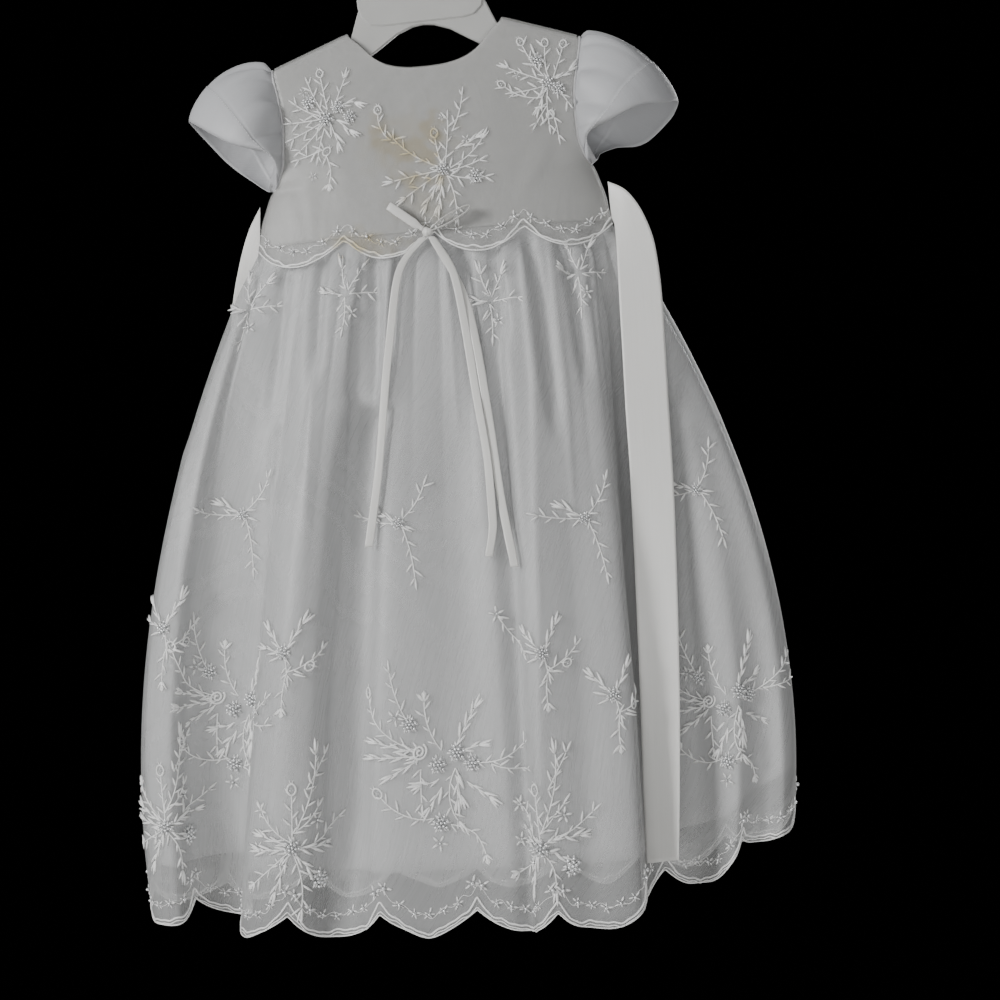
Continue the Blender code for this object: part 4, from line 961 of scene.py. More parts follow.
# Each motif of the net's pattern, flat, in millimetres from its hub. A stem or leaf: right, up, heading in
# degrees clockwise from up, how far it bends, length, kind, what its tip carries. A flower: kind, right, up,
# size.
PATTERN = {
    "large": (
        [(-16, 7, -75, 55, 57, "stem", "ring"), (-23, 26, -32, 24, 40, "stem", "leaf"),
         (0, 6, -38, 38, 38, "stem", "tulip"),
         (11, 9, 25, 5, 28, "thick", None), (26, -4, 92, -42, 39, "stem", "leaf"),
         (36, -5, 112, -27, 30, "stem", "leaf"),
         (-17, 3, -90, 0, 31, "leaf", None), (-19, 6, -74, 0, 27, "leaf", None),
         (-17, 0, -117, 0, 20, "thick", None),
         (-15, -6, 182, -6, 24, "stem", "leaf"), (10, -7, 208, -60, 40, "stem", "thick"),
         (12, -11, 182, 0, 18, "thick", None),
         (10, -12, 168, 0, 14, "leaf", None), (18, -17, 125, 0, 19, "leaf", None),
         (0, -20, 214, 0, 15, "leaf", None),
         (-2, -14, -120, 30, 12, "leaf", None), (-6, -41, -98, 60, 42, "stem", "ring"),
         (6, -47, 108, 52, 38, "stem", "tulip"),
         (14, 5, 76, 0, 13, "thick", None)],
        [("star", -33, 31, 13), ("cluster", -23, 26, 10), ("spiral", -16, 6, 13), ("cluster", -3, -4, 10.5),
         ("cluster", 11, 4, 11), ("cluster", 22, -4, 10.5), ("cluster", -1, -45, 11),
         ("star", -2, -59, 12.5)],
    ),
    "small": (
        [(0, 4, -5, 0, 32, "stem", "ring"), (0, 10, 30, -32, 56, "stem", "thick"),
         (7, 40, 32, 0, 27, "stem", "leaf"),
         (0, 3, -56, 16, 34, "stem", None), (2, 12, 52, -14, 22, "stem", None),
         (-3, 0, -84, 0, 21, "leaf", None),
         (-3, 3, -68, 0, 20, "thick", None), (-3, -3, -122, 8, 30, "stem", "tulip"),
         (-2, -5, 204, 0, 22, "thick", None),
         (2, -5, 142, 40, 32, "stem", "thick"), (4, 2, 82, 0, 25, "thick", None),
         (6, 2, 72, -20, 38, "stem", "leaf"),
         (4, -4, 118, 0, 18, "thick", None)],
        [("cluster", 0, 0, 11), ("star", -27, 27, 13), ("star", 18, 20, 12.5), ("star", -27, 4, 11),
         ("star", -8, -9, 11),
         ("cluster", 24, -15, 12)],
    ),
    "sprig": (
        [(2, 2, 28, 0, 20, "thick", None), (-3, 3, -44, 0, 16, "thick", None),
         (-4, 0, -76, 0, 13, "leaf", None),
         (-3, -3, -110, 0, 11, "leaf", None), (2, -4, 168, 0, 12, "stem", None),
         (4, -15, 190, -14, 24, "stem", "tulip"),
         (4, -14, 74, -30, 29, "stem", "leaf"), (8, -15, 104, 0, 11, "leaf", None)],
        [("cluster", 0, 0, 10), ("ring", 17, -13, 9)],
    ),
    "twig": (
        [(-3, 0, -88, 16, 32, "stem", "leaf"), (3, 3, 48, -30, 27, "stem", "leaf"),
         (3, -3, 158, 14, 38, "stem", "leaf"),
         (-3, 2, -60, 0, 12, "thick", None), (4, -2, 112, 0, 10, "leaf", None)],
        [("cluster", 0, 0, 8)],
    ),
    "top": (
        [(0, 0, -28, 16, 17, "stem", "thick"), (2, -1, 22, 14, 18, "stem", "thick"),
         (3, -4, 82, 10, 20, "stem", "leaf"),
         (0, -6, 170, 14, 22, "stem", "leaf"), (-2, -4, -82, 10, 15, "leaf", None),
         (-1, -10, 214, 0, 10, "leaf", None)],
        [("star", 6, -18, 11)],
    ),
    "lone star": (
        [(1, -2, 148, -22, 34, "stem", None)],
        [("star", 0, 0, 12)],
    ),
    "left shoulder": (
        [(-4, 4, -58, 20, 30, "stem", "leaf"), (-2, 6, -24, 14, 34, "stem", "leaf"),
         (2, 8, -6, 6, 32, "stem", "ring"),
         (8, 8, 30, 4, 26, "stem", "thick"), (-6, 2, -80, 8, 27, "stem", "leaf"),
         (-6, -2, -104, 8, 26, "stem", "leaf"),
         (-4, -5, -132, 10, 26, "stem", "leaf"), (-2, -8, 200, -12, 24, "stem", None),
         (-4, -27, -100, 10, 22, "stem", "leaf"),
         (0, -34, 152, 14, 30, "stem", "tulip"), (4, -6, 160, 0, 18, "thick", None),
         (10, -4, 138, 0, 16, "leaf", None),
         (12, 8, 92, 0, 15, "leaf", None), (-10, -26, 206, 0, 12, "leaf", None)],
        [("cluster", 0, 0, 12), ("cluster", 12, 7, 11), ("cluster", 22, -5, 10), ("cluster", -14, 22, 11),
         ("ring", -3, -33, 10), ("star", -18, 34, 9), ("star", -10, -50, 9)],
    ),
    "centre front": (
        [(2, 3, 12, -10, 40, "stem", "leaf"), (10, 32, 32, -22, 30, "stem", "leaf"),
         (-1, 4, -12, 6, 24, "stem", "ring"),
         (-4, 3, -66, 22, 45, "stem", None), (-43, 27, -66, 66, 22, "stem", "ring"),
         (-40, 28, 70, 0, 12, "leaf", None),
         (-5, -1, -96, -8, 38, "stem", "thick"), (-4, -4, -118, -6, 34, "stem", "thick"),
         (-2, -6, 212, 0, 26, "thick", None),
         (-1, -8, 192, 0, 22, "thick", None), (3, -6, 158, 24, 34, "stem", "thick"),
         (6, 0, 66, -8, 34, "stem", "thick"),
         (6, -2, 82, 0, 26, "stem", "leaf"), (6, -6, 112, -20, 30, "stem", "leaf"),
         (12, 16, 78, 0, 18, "leaf", None)],
        [("cluster", 0, 0, 10), ("cluster", 27, -10, 11), ("star", 22, 22, 9), ("star", 2, 46, 7)],
    ),
    "right shoulder": (
        [(0, 5, -20, 16, 30, "stem", "ring"), (4, 6, 14, -6, 32, "stem", "ring"),
         (-4, 2, -84, 6, 34, "stem", "thick"),
         (-4, 6, -52, 18, 34, "stem", "ring"), (-3, -3, -118, 12, 30, "stem", "leaf"),
         (-5, -14, -110, 50, 36, "stem", "ring"),
         (0, -5, 186, -8, 34, "stem", "leaf"), (2, -24, 160, 18, 24, "stem", "leaf"),
         (-2, -22, 212, 0, 20, "stem", "leaf"),
         (3, 0, 120, 20, 20, "stem", "leaf"), (6, 6, 60, -20, 16, "leaf", None),
         (-2, -6, 202, 0, 18, "thick", None),
         (-14, 24, -30, 10, 14, "leaf", None)],
        [("cluster", 0, 0, 12), ("cluster", -12, 20, 12), ("cluster", 10, -3, 11), ("ring", -2, -34, 10),
         ("star", -30, 2, 8)],
    ),
}

# Where the sprays lie: motif, x and z of its hub as seen from the front or the back, size.
SPRAYS = {
    "skirt_front_net": [
        ("large", -14, -652, 1.0), ("large", -165, -612, 1.0), ("large", 197, -628, 0.95),
        ("small", -122, -703, 1.0),
        ("small", 53, -714, 1.0), ("small", -219, -692, 1.0), ("sprig", -121, -569, 1.0),
        ("sprig", 61, -580, 0.9),
        ("sprig", -213, -553, 1.0), ("sprig", 111, -608, 0.9), ("twig", -153, -470, 1.0),
        ("twig", -36, -480, 1.0),
        ("twig", 98, -483, 1.0), ("twig", 183, -469, 1.0), ("top", -140, -315, 1.0), ("top", -66, -310, 1.0),
        ("top", 38, -321, 1.0), ("top", 104, -301, 1.0), ("lone star", 31, -549, 1.0),
    ],
    "skirt_back_net": [
        ("large", 150, -636, 1.0), ("large", -8, -655, 1.0), ("large", -168, -640, 1.0),
        ("small", 70, -708, 1.0),
        ("small", -92, -712, 1.0), ("small", -222, -690, 1.0), ("small", 224, -668, 1.0),
        ("sprig", 92, -572, 1.0), ("sprig", -62, -575, 1.0), ("sprig", 196, -566, 1.0),
        ("twig", 150, -475, 1.0),
        ("twig", 60, -480, 1.0), ("twig", -40, -478, 1.0), ("twig", -140, -472, 1.0), ("top", 110, -318, 1.0),
        ("top", 50, -312, 1.0), ("top", -30, -318, 1.0), ("top", -96, -312, 1.0),
        ("lone star", 12, -548, 1.0),
    ],
    "overlay_front_net": [
        ("left shoulder", -76, -182, 0.82), ("centre front", 9, -225, 0.86),
        ("right shoulder", 90, -164, 0.8),
    ],
    "overlay_back_left_net": [("left shoulder", -76, -180, 0.82)],
    "overlay_back_right_net": [("right shoulder", 78, -178, 0.8)],
}


def geometry_tree(name, inputs, nodes, links):
    """A Geometry Nodes tree. A link reads "node.output > node.input", with a name or number for each socket,
    and the nodes "in" and "out" are the two ends of the tree."""
    tree = bpy.data.node_groups.new(name, "GeometryNodeTree")
    tree.interface.new_socket("Geometry", in_out="INPUT", socket_type="NodeSocketGeometry")
    for label, kind, value in inputs:
        socket = tree.interface.new_socket(label, in_out="INPUT", socket_type="NodeSocket" + kind)
        if value is not None:
            socket.default_value = value
    tree.interface.new_socket("Geometry", in_out="OUTPUT", socket_type="NodeSocketGeometry")
    made = {"in": tree.nodes.new("NodeGroupInput"), "out": tree.nodes.new("NodeGroupOutput")}
    made.update((key, new_node(tree, *what)) for key, what in nodes.items())
    for link in links:
        (a, out_of), (b, into) = [end.split(".") for end in link.split(" > ")]
        tree.links.new(made[a].outputs[int(out_of) if out_of.isdigit() else out_of],
                       made[b].inputs[int(into) if into.isdigit() else into])
    return tree


def worked(tree, carrier, values):
    """The plain mesh that a tree makes of a carrier."""
    bpy.context.scene.collection.objects.link(carrier)
    modifier = carrier.modifiers.new(tree.name, "NODES")
    modifier.node_group = tree
    for item in tree.interface.items_tree:
        if item.item_type == "SOCKET" and item.in_out == "INPUT" and item.name in values:
            modifier[item.identifier] = values[item.name]
    bpy.context.view_layer.update()
    graph = bpy.context.evaluated_depsgraph_get()
    mesh = bpy.data.meshes.new_from_object(carrier.evaluated_get(graph), depsgraph=graph)
    carrier.modifiers.remove(modifier)
    bpy.data.objects.remove(carrier)
    return mesh


def maths_node(operation, settings=None):
    return "ShaderNodeMath", {"operation": operation, **(settings or {})}


def cording(step, sides):
    """The nodes that sweep a round cord along lines, as fine as the step and with so many sides."""
    return {
        "lines": ("GeometryNodeMeshToCurve", {}),
        "even": ("GeometryNodeResampleCurve", {"mode": "LENGTH", "Length": step}),
        "circle": ("GeometryNodeCurvePrimitiveCircle", {"Resolution": sides}),
        "swept": ("GeometryNodeCurveToMesh", {"Fill Caps": True}),
    }


CORD_LINKS = ["in.Geometry > lines.Mesh", "lines.Curve > even.Curve", "even.Curve > swept.Curve",
              "in.Cord > circle.Radius", "circle.Curve > swept.Profile Curve"]
DYEING = {"real": ("GeometryNodeRealizeInstances", {}), "dyed": ("GeometryNodeSetMaterial", {})}
DYE_LINKS = ["in.Thread > dyed.Material", "dyed.Geometry > out.Geometry"]
FACING = {  # lays a motif flat on the cloth: its Z along the cloth's normal and its X along a way
    "normal": ("GeometryNodeInputNamedAttribute", {"data_type": "FLOAT_VECTOR", "Name": "out"}),
    "facing": ("FunctionNodeAxesToRotation", {"primary_axis": "Z", "secondary_axis": "X"}),
}
FACE_LINK = "normal.Attribute > facing.Primary Axis"

# Tree: motifs laid on the cloth at points that know the cloth's normal, their heading and their size.
motif_tree = geometry_tree(
    "motifs on cloth", [("Motif", "Object", None), ("Size", "Float", 1.0), ("Thread", "Material", None)],
    {
        **FACING, **DYEING,
        "way": ("GeometryNodeInputNamedAttribute", {"data_type": "FLOAT_VECTOR", "Name": "way"}),
        "size": ("GeometryNodeInputNamedAttribute", {"data_type": "FLOAT", "Name": "size"}),
        "scaled": maths_node("MULTIPLY"),
        "source": ("GeometryNodeObjectInfo", {}),
        "laid": ("GeometryNodeInstanceOnPoints", {}),
    },
    ["in.Geometry > laid.Points", "in.Motif > source.Object", "source.Geometry > laid.Instance", FACE_LINK,
     "way.Attribute > facing.Secondary Axis", "facing.Rotation > laid.Rotation", "size.Attribute > scaled.0",
     "in.Size > scaled.1", "scaled.Value > laid.Scale", "laid.Instances > real.Geometry",
     "real.Geometry > dyed.Geometry", *DYE_LINKS])

# Tree: stems stitched as a fine cord, with leaves leaning out by turns on either side, a little unsteadily.
stem_tree = geometry_tree(
    "leafy stems", [("Leaf", "Object", None), ("Spacing", "Float", 0.0042), ("Leaf Length", "Float", 0.0062),
                    ("Lean", "Float", 0.62), ("Cord", "Float", 0.00048), ("Thread", "Material", None)],
    {
        **cording(0.0016, 5), **FACING, **DYEING,
        "spaced": ("GeometryNodeResampleCurve", {"mode": "LENGTH"}),
        "tangent": ("GeometryNodeInputTangent", {}),
        "index": ("GeometryNodeInputIndex", {}),
        "by turns": maths_node("MODULO", {1: 2}),
        "side": maths_node("MULTIPLY_ADD", {1: 2, 2: -1}),
        "unsteady": ("FunctionNodeRandomValue", {"data_type": "FLOAT", 2: 0.75, 3: 1.25, "Seed": 5}),
        "leaning": maths_node("MULTIPLY"),
        "leaned": maths_node("MULTIPLY"),
        "length": maths_node("MULTIPLY"),
        "angle": ("ShaderNodeCombineXYZ", {}),
        "turn": ("FunctionNodeEulerToRotation", {}),
        "lean": ("FunctionNodeRotateRotation", {"rotation_space": "LOCAL"}),
        "source": ("GeometryNodeObjectInfo", {}),
        "leaves": ("GeometryNodeInstanceOnPoints", {}),
        "both": ("GeometryNodeJoinGeometry", {}),
    },
    [*CORD_LINKS, "lines.Curve > spaced.Curve", "in.Spacing > spaced.Length", "spaced.Curve > leaves.Points",
     "index.Index > by turns.0", "by turns.Value > side.0", "side.Value > leaning.0", "in.Lean > leaning.1",
     "leaning.Value > leaned.0", "unsteady.1 > leaned.1", "leaned.Value > angle.Z",
     "angle.Vector > turn.Euler",
     FACE_LINK, "tangent.Tangent > facing.Secondary Axis", "facing.Rotation > lean.Rotation",
     "turn.Rotation > lean.Rotate By", "lean.Rotation > leaves.Rotation", "in.Leaf Length > length.0",
     "unsteady.1 > length.1", "length.Value > leaves.Scale", "in.Leaf > source.Object",
     "source.Geometry > leaves.Instance", "leaves.Instances > real.Geometry", "real.Geometry > both.Geometry",
     "swept.Mesh > both.Geometry", "both.Geometry > dyed.Geometry", *DYE_LINKS])

# Tree: a line of thick thread couched along an edge.
cord_tree = geometry_tree(
    "corded line", [("Cord", "Float", 0.0006),
    ("Thread", "Material", None)], {**cording(0.0014, 6), **DYEING},
    [*CORD_LINKS, "swept.Mesh > real.Geometry", "real.Geometry > dyed.Geometry", *DYE_LINKS])


def carrier_of(points, edges, fields):
    """A bare mesh of points or lines in millimetres that carries what a tree reads."""
    mesh = bpy.data.meshes.new("carrier")
    mesh.from_pydata((np.array(points) * MM).tolist(), edges, [])
    for key, values in fields.items():
        values = np.array(values, np.float32)
        kind, slot_name = ("FLOAT_VECTOR", "vector") if values.ndim == 2 else ("FLOAT", "value")
        mesh.attributes.new(key, kind, "POINT").data.foreach_set(slot_name, values.ravel())
    return bpy.data.objects.new("carrier", mesh)


def corded(points, thick, material, closed=False):
    """A cord of a thickness in millimetres along a line of points."""
    count = len(points)
    edges = [(k, (k + 1) % count) for k in range(count if closed else count - 1)]
    return worked(cord_tree, carrier_of(points, edges, {}), {"Cord": thick * MM, "Thread": material})


def sewn_piece(name, meshes):
    """One piece of all the meshes of one kind of thread or bead on a panel."""
    parts = []
    for mesh in meshes:
        part = bpy.data.objects.new(name, mesh)
        bpy.context.scene.collection.objects.link(part)
        parts.append(part)
    with bpy.context.temp_override(active_object=parts[0], selected_editable_objects=parts):
        bpy.ops.object.join()
    piece = parts[0]
    piece.name = name
    piece.data.polygons.foreach_set("use_smooth", [True] * len(piece.data.polygons))
    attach(piece, "root")
    return piece


def heading_step(heading):
    return math.sin(math.radians(heading)), math.cos(math.radians(heading))


MOTIF_ABOVE, CORD_ABOVE = 0.15, 0.3  # how far motifs and cords lie off the middle of the net


def lay_motif(laid_motifs, panel, hub, kind, right, up, heading, size_mm):
    """Notes one motif: where it lies on the panel, its normal, its heading along the cloth and its size."""
    step_right, step_up = heading_step(heading)
    ends, outs, inside = on_cloth(panel, hub, [right, right + step_right], [up, up + step_up])
    if inside.all():
        laid_motifs.setdefault(kind, []).append(
            (ends[0] + outs[0] * MOTIF_ABOVE, outs[0], unit(ends[1] - ends[0]), size_mm))


TIP_SIZES = {"leaf": 10, "thick": 13, "ring": 9.5, "tulip": 8.5, "star": 9}
SHORT_LEAF, STEM_STEP = 12, 1.8
# Spacing, length and lean of the leaves on thin and on bold stems
BRANCH_LEAVES = (("stem", 5.0, 7.8, 0.68), ("bold", 4.6, 10.5, 0.30))


def lay_spray(panel, hub, motif, share, branches, laid_motifs):
    """Adds the stems and notes the motifs of one spray, at a share of its full size."""
    stems, flowers = PATTERN[motif]
    for right, up, heading, bend, long, kind, tip in stems:
        right, up, long = right * share, up * share, long * share
        if kind != "stem" and long < SHORT_LEAF:
            lay_motif(laid_motifs, panel, hub, kind, right, up, heading, long)
            continue
        points, edges, outs_of = branches["stem" if kind == "stem" else "bold"]
        tip = tip or ("leaf" if kind == "stem" else "thick")
        count = max(3, int(long / STEM_STEP))
        headings = heading + bend * np.linspace(0, 1, count)
        steps = np.array([heading_step(h) for h in headings]) * long / count
        line = np.array([right, up]) + np.concatenate([[[0, 0]], np.cumsum(steps, axis=0)])
        places, outs, inside = on_cloth(panel, hub, line[:, 0], line[:, 1])
        keep = len(inside) if inside.all() else int(np.argmin(inside))
        if keep < 2:
            continue
        edges.extend((len(points) + k, len(points) + k + 1) for k in range(keep - 1))
        points.extend(places[:keep] + outs[:keep] * CORD_ABOVE)
        outs_of.extend(outs[:keep])
        if keep == len(inside):
            lay_motif(laid_motifs, panel, hub, tip, *line[-1], heading + bend, TIP_SIZES[tip] * share)
    for kind, right, up, across_mm in flowers:
        heading = 17 * len(points) % 72
        lay_motif(laid_motifs, panel, hub, kind, right * share, up * share, heading, across_mm * share)


# Along the scalloped edge: corded lines that meet in points, and above them a chain of small flowers. A
# line's height is followed by how much higher it is between two scallops, and by its thickness.
BORDERS = {
    "overlay": {"lines": [(0.5, 0, 0.55), (2.9, 2.8, 0.7)], "chain": 12.5, "chain_rise": 0, "flower_rise": 0,
                "flower_at_point": 9, "flowers": [0.09, 0.25, 0.42, 0.58, 0.75, 0.91]},
    "skirt": {"lines": [(0.4, 0, 0.5), (1.6, 1.2, 0.4), (3.9, 6.0, 0.65)], "chain": 15.5, "chain_rise": 2.5,
              "flower_rise": 4.5, "flower_at_point": 11.5,
              "flowers": [0.05, 0.2, 0.35, 0.5, 0.65, 0.8, 0.95]},
}
CHAIN_THICK = 0.2


def edge_work(panel, run, border, laid_motifs):
    """The cords along a scalloped edge. Notes the small flowers of its chain too."""
    fine = np.arange(run[0] + 0.004, run[-1] - 0.004, 0.022)
    columns = np.interp(fine, run, np.arange(len(run)))
    near_cusp = np.clip(1 - np.minimum(fine % 1, 1 - fine % 1) / 0.16, 0, 1) ** 1.6
    wobble = 0.4 * np.sin(fine * 47) + 0.5 * np.sin(fine * 29) + 0.9 * np.sin(fine * 11)
    chain = border["chain"] + 1.6 * np.sin(fine * 2 * math.pi * 5)
    cords = []
    for height, rise, thick in [*border["lines"], (chain, border["chain_rise"], CHAIN_THICK)]:
        places, outs = above_edge(panel, columns, height + rise * near_cusp + (wobble if rise else 0))
        cords.append(corded(places + outs * CORD_ABOVE, thick, thread))
    flowers_at = np.add.outer(np.arange(math.ceil(run[-1])), border["flowers"]).ravel()
    for k, at in enumerate(flowers_at):
        if not run[0] + 0.03 < at < run[-1] - 0.03:
            continue
        cusp = min(at % 1, 1 - at % 1) < 0.1
        height = border["chain"] + (k * 5 % 3 - 1) * 1.1 + border["flower_rise"] * cusp
        column = np.interp([at, at + 0.01], run, np.arange(len(run)))
        places, outs = above_edge(panel, column, [height, height])
        way = unit(places[1] - places[0])
        turn = math.radians(k * 37 % 72)
        way = unit(way * math.cos(turn) + np.cross(outs[0], way) * math.sin(turn))
        laid_motifs.setdefault("small star", []).append((
            places[0] + outs[0] * MOTIF_ABOVE, outs[0], way,
            (border["flower_at_point"] if cusp else 9) + k * 7 % 4 * 0.3))
    return cords


CLUSTER_FULLER = 1.25
for panel_name, sprays in SPRAYS.items():
    panel = panels[panel_name]
    branches = {"stem": ([], [], []), "bold": ([], [], [])}
    laid_motifs = {}
    for motif, x, z, share in sprays:
        lay_spray(panel, hub_at(panel, x, z), motif, share, branches, laid_motifs)
    embroidery = edge_work(panel, scallop_runs[panel_name], BORDERS[panel_name.split("_")[0]], laid_motifs)
    beadwork = []
    for kind, spacing, long, lean in BRANCH_LEAVES:
        points, edges, outs_of = branches[kind]
        if points:
            embroidery.append(worked(stem_tree, carrier_of(points, edges, {"out": outs_of}), {
                "Leaf": MOTIFS["leaf"], "Thread": thread, "Spacing": spacing * MM, "Leaf Length": long * MM,
                "Lean": lean}))
    for kind, rows in laid_motifs.items():
        places, outs, ways, sizes = zip(*rows)
        fuller = CLUSTER_FULLER if kind == "cluster" else 1
        fields = {"out": outs, "way": ways, "size": [size * fuller for size in sizes]}
        for sources, meshes, material in ((MOTIFS, embroidery, thread), (BEADING, beadwork, glass_bead)):
            if kind in sources:
                meshes.append(worked(motif_tree, carrier_of(places, [], fields), {
                    "Motif": sources[kind], "Size": MM, "Thread": material}))
    sewn_piece(panel_name.replace("_net", "_embroidery"), embroidery)
    if beadwork:
        sewn_piece(panel_name.replace("_net", "_beads"), beadwork)


# Sewing: the gathered armhole seams, the stitched hems of the sleeves and of the underskirt.
def stitched_line(points, outs, every, long):
    """Stitches at even steps along a line on the cloth."""
    run = np.concatenate([[0], np.cumsum(np.linalg.norm(np.diff(points, axis=0), axis=1))])
    at = np.arange(every / 2, run[-1], every)

    def read(table, where):
        return np.stack([np.interp(where, run, column) for column in table.T], axis=-1)

    fields = {"out": unit(read(outs, at)), "way": unit(read(points, at + 0.5) - read(points, at - 0.5)),
              "size": np.full(len(at), long)}
    return worked(motif_tree, carrier_of(read(points, at), [], fields), {
        "Motif": MOTIFS["leaf"], "Size": MM, "Thread": thread})


seam_satin = satin("seam cloth", (0.56, 0.56, 0.565), rough=0.5, streak=0.0)
for hand, seam in armholes.items():
    hem, outs = sleeve_hems[hand]
    pucker = seam + 0.25 * np.cos(np.arange(len(seam)) * 1.7)[:, None] * outs
    sewn_piece(f"sleeve_{hand}_armhole_seam", [corded(pucker, 0.95, seam_satin, closed=True)])
    hem, outs = np.vstack([hem, hem[:1]]), np.vstack([outs, outs[:1]])
    sewn_piece(f"sleeve_{hand}_hem_stitches", [stitched_line(hem, outs, 2.6, 1.9)])
for panel_name in ("underskirt_front_satin", "underskirt_back_satin"):
    panel = panels[panel_name]
    columns = np.arange(2, panel[0].shape[1] - 3, 0.5)
    places, outs = above_edge(panel, columns, np.full(len(columns), 12.0))
    stitches = stitched_line(places + outs * CORD_ABOVE, outs, 3.0, 2.2)
    sewn_piece(panel_name.replace("satin", "hem_stitches"), [stitches])


# Bow: narrow satin ribbon, 6 mm wide, tied at the middle of the waist in two small loops with three long
# tails, its knot a turn of the same ribbon pulled tight. One stitch through the knot holds it to the waist.
KNOT = np.array([-5.0, -29.75, -270.5])
TAILS = {
    "left": [(-8.0, -274.4), (-26, -297), (-37, -357), (-49, -448), (-58, -498)],
    "middle": [(-1.8, -274.4), (13, -303), (25, -393), (31, -447), (32, -484), (28, -509)],
    "right": [(-1.6, -274.4), (22, -327), (33, -409), (39, -469), (46, -517)],
}
bow_satin = satin("bow satin", (0.72, 0.715, 0.69), rough=0.28, streak=0.03, sheen=0.2)
bow_pieces = []


def smooth_line(points, count):
    """So many points on a smooth line through a few."""
    part, fine = np.linspace(0, 1, len(points)), np.linspace(0, 1, count)
    return np.stack([curve(list(zip(part, column)), fine) for column in np.array(points, float).T], axis=-1)


def ribbon(name, centre, half_width, cup=0.25):
    """A ribbon along a line, slightly cupped across, with a firm woven edge on either side."""
    along = unit(np.gradient(centre, axis=0))
    flat = unit(np.cross(along, half_width))
    shares = np.linspace(-1, 1, 9)
    grid = np.stack([centre + half_width * t + flat * cup * (1 - t * t) for t in shares], axis=1)
    bow_pieces.append(cloth(name + "_ribbon", grid, 0.4, bow_satin, name, outward=(0, 200, -270)))


for hand, tip, across, open_by in (
    ("left", (-32, -31.2, -250.5), (1.6, 0, 2.5), 1.0), ("right", (27, -32.2, -254.0), (0, 3.0, 0), 1.4),
):
    way = np.array(tip, float) - KNOT
    long = np.linalg.norm(way)
    way, wide = way / long, np.array(across, float)
    side = np.cross(way, unit(wide))
    there = [(3.6, 0.5), (7, 1.0), (11, 1.6), (16, 1.9), (long - 8, 1.8), (long - 3.5, 1.4),
    (long - 1.2, 0.8),
             (long, 0.0)]
    line = [KNOT + way * d + side * h * open_by for d, h in there]
    line += [KNOT + way * d - side * h * open_by for d, h in reversed(there[:-1])]
    line = smooth_line(line, 70)
    pinch = np.clip(np.linalg.norm(line - KNOT, axis=1) / 11, 0.55, 1)[:, None]
    ribbon(f"bow_loop_{hand}", line, wide * pinch)

front_grid = panels["skirt_front_net"][0]
for hand, line in TAILS.items():
    fine = np.linspace(0, 1, 90)
    flat_line = smooth_line([(x, 0, z) for x, z in line], 90)
    above = 1.0 if hand == "middle" else 0
    y = []
    for x, _, z in flat_line:
        near = (np.abs(front_grid[..., 0] - x) < 7) & (np.abs(front_grid[..., 2] - min(z, -287)) < 8)
        y.append(front_grid[near][:, 1].min())
    y = np.convolve(np.pad(y, 6, mode="edge"), np.ones(13) / 13, mode="valid")
    flat_line[:, 1] = np.minimum(y - 2.0, KNOT[1] - 3.0 * fine) - above
    turn = 0.35 * np.sin(fine * 7 + above)
    wide = np.stack([3 * np.cos(turn), 3 * np.sin(turn) * 0.4, 0 * turn], axis=-1)
    wide[0] *= 0.6
    ribbon(f"bow_tail_{hand}", flat_line, wide)


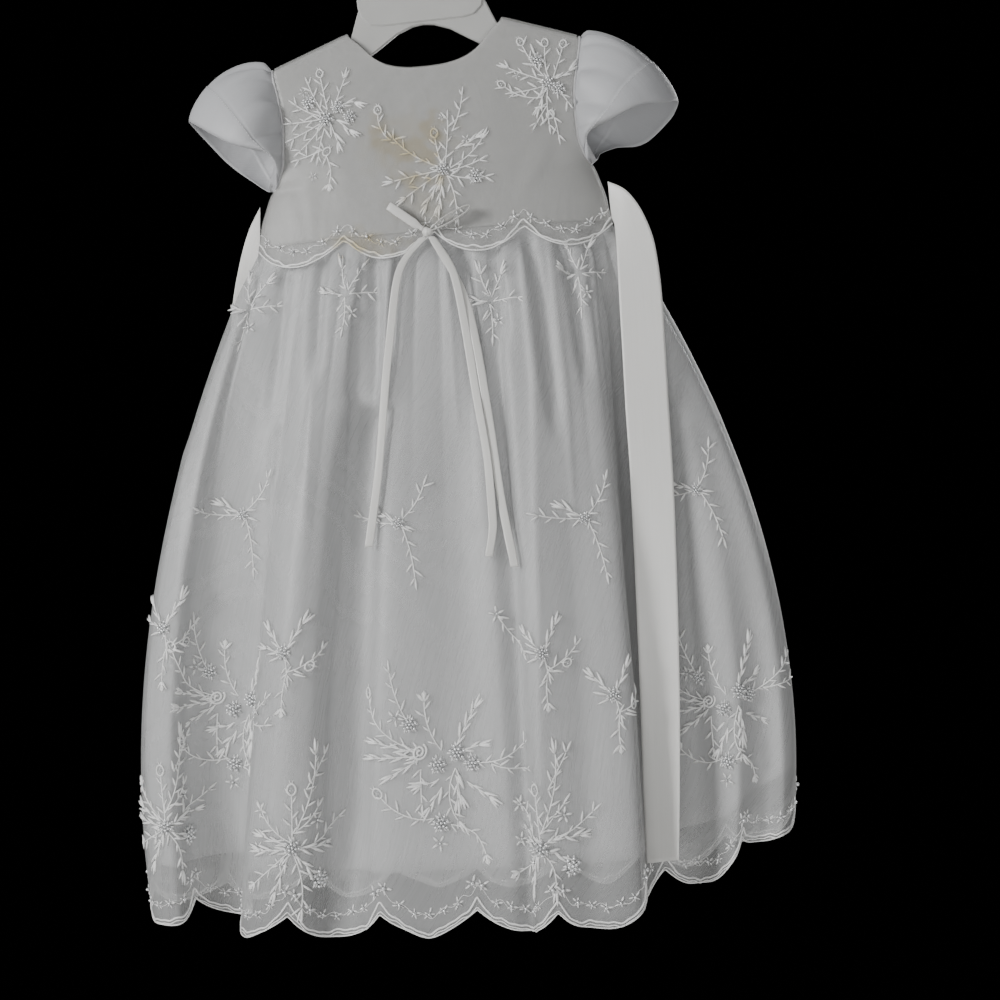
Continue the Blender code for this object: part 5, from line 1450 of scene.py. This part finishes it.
def round_solid(name, centre, radii, swell, material, node, columns=40, rows=20):
    """A closed rounded solid on a centre: swell says how far it stands out at each turn and height."""
    verts, faces = [(0, 0, swell(0, 1.0))], []
    for i in range(1, rows):
        up = math.pi * i / rows
        for j in range(columns):
            turn = 2 * math.pi * j / columns
            r = swell(turn, math.cos(up))
            flat_r = math.sin(up) * r
            verts.append((math.cos(turn) * flat_r, math.sin(turn) * flat_r, math.cos(up) * r))
    verts.append((0, 0, -swell(0, -1.0)))
    for j in range(columns):
        k = (j + 1) % columns
        faces.append((0, 1 + j, 1 + k))
        starts = [1 + i * columns for i in range(rows - 1)]
        faces += [(above + j, below + j, below + k, above + k) for above, below in zip(starts, starts[1:])]
        last = starts[-1]
        faces.append((last + j, len(verts) - 1, last + k))
    # Its axis points out of the cloth, along Y
    placed = [(centre[0] + x * radii[0], centre[1] + z * radii[1], centre[2] + y * radii[2])
              for x, y, z in verts]
    corners = [(verts[n][0] * radii[0] * MM, verts[n][1] * radii[2] * MM) for face in faces for n in face]
    piece = dressed(name, placed, faces, corners, material, node)
    return piece


bow_pieces.append(round_solid(
    "bow_knot_ribbon", KNOT, (4.3, 2.7, 3.7),
    lambda turn, up: (0.92 + 0.05 * math.cos(5 * math.cos(turn) + 1)
                      + 0.05 * math.sin(3 * turn + 1) * (1 - up * up)),
    bow_satin, "bow_knot"))


# Buttons: three pearls on shanks down the centre back, each in a loop of cord from the other side.
pearl = mottled("pearl", (0.88, 0.86, 0.82), 260.0, 3.0, (0.92, 1.05), {"Roughness": 0.2, "Coat Weight": 0.7})
loops = []
for place_name, height in (("top", -158.0), ("middle", -196.0), ("low", -236.0)):
    centre = hang(np.array([-5.5, curve(CENTRE_DEPTH, height) + 4.6, height]))
    round_solid(f"button_{place_name}_pearl", centre, (3.7, 2.0, 3.7),
                lambda turn, up: 1.0 - 0.05 * math.exp(-(((abs(up) - 0.45) / 0.12) ** 2)),
                pearl, f"button_{place_name}")
    around = np.radians(np.arange(-150, 151, 12))
    loop = np.stack([centre[0] + 0.6 - 4.3 * np.cos(around), np.full(len(around), centre[1] - 1.1),
                     centre[2] + 3.9 * np.sin(around)], axis=-1)
    loop = np.vstack([[2.2, centre[1] - 1.8, loop[0][2]], loop, [2.2, centre[1] - 1.8, loop[-1][2]]])
    loops.append(corded(loop, 0.45, thread))
sewn_piece("button_loops", loops)


# Hanger: one white plastic moulding, its surface faintly waved and scuffed.
hanger_plastic = mottled("hanger plastic", (0.49, 0.49, 0.475), 60.0, 6.0, (0.95, 1.04), {},
                         bump=(0.12, 0.0004), worn=(0.3, 0.5))
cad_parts["hanger"].data.materials.clear()
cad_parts["hanger"].data.materials.append(hanger_plastic)


# The pieces of cloth by their kind, satin, net or ribbon; the loop over them sets nothing.
for pieces, slot_name in (
    ([bodice_front, *bodice_backs.values(), *sleeves.values(), *underskirts.values()], "satin"),
    ([overlay_front, *overlay_backs.values(), *skirts.values()], "net"),
    ([*sashes.values(), *bow_pieces], "ribbon"),
):
    for piece in pieces:
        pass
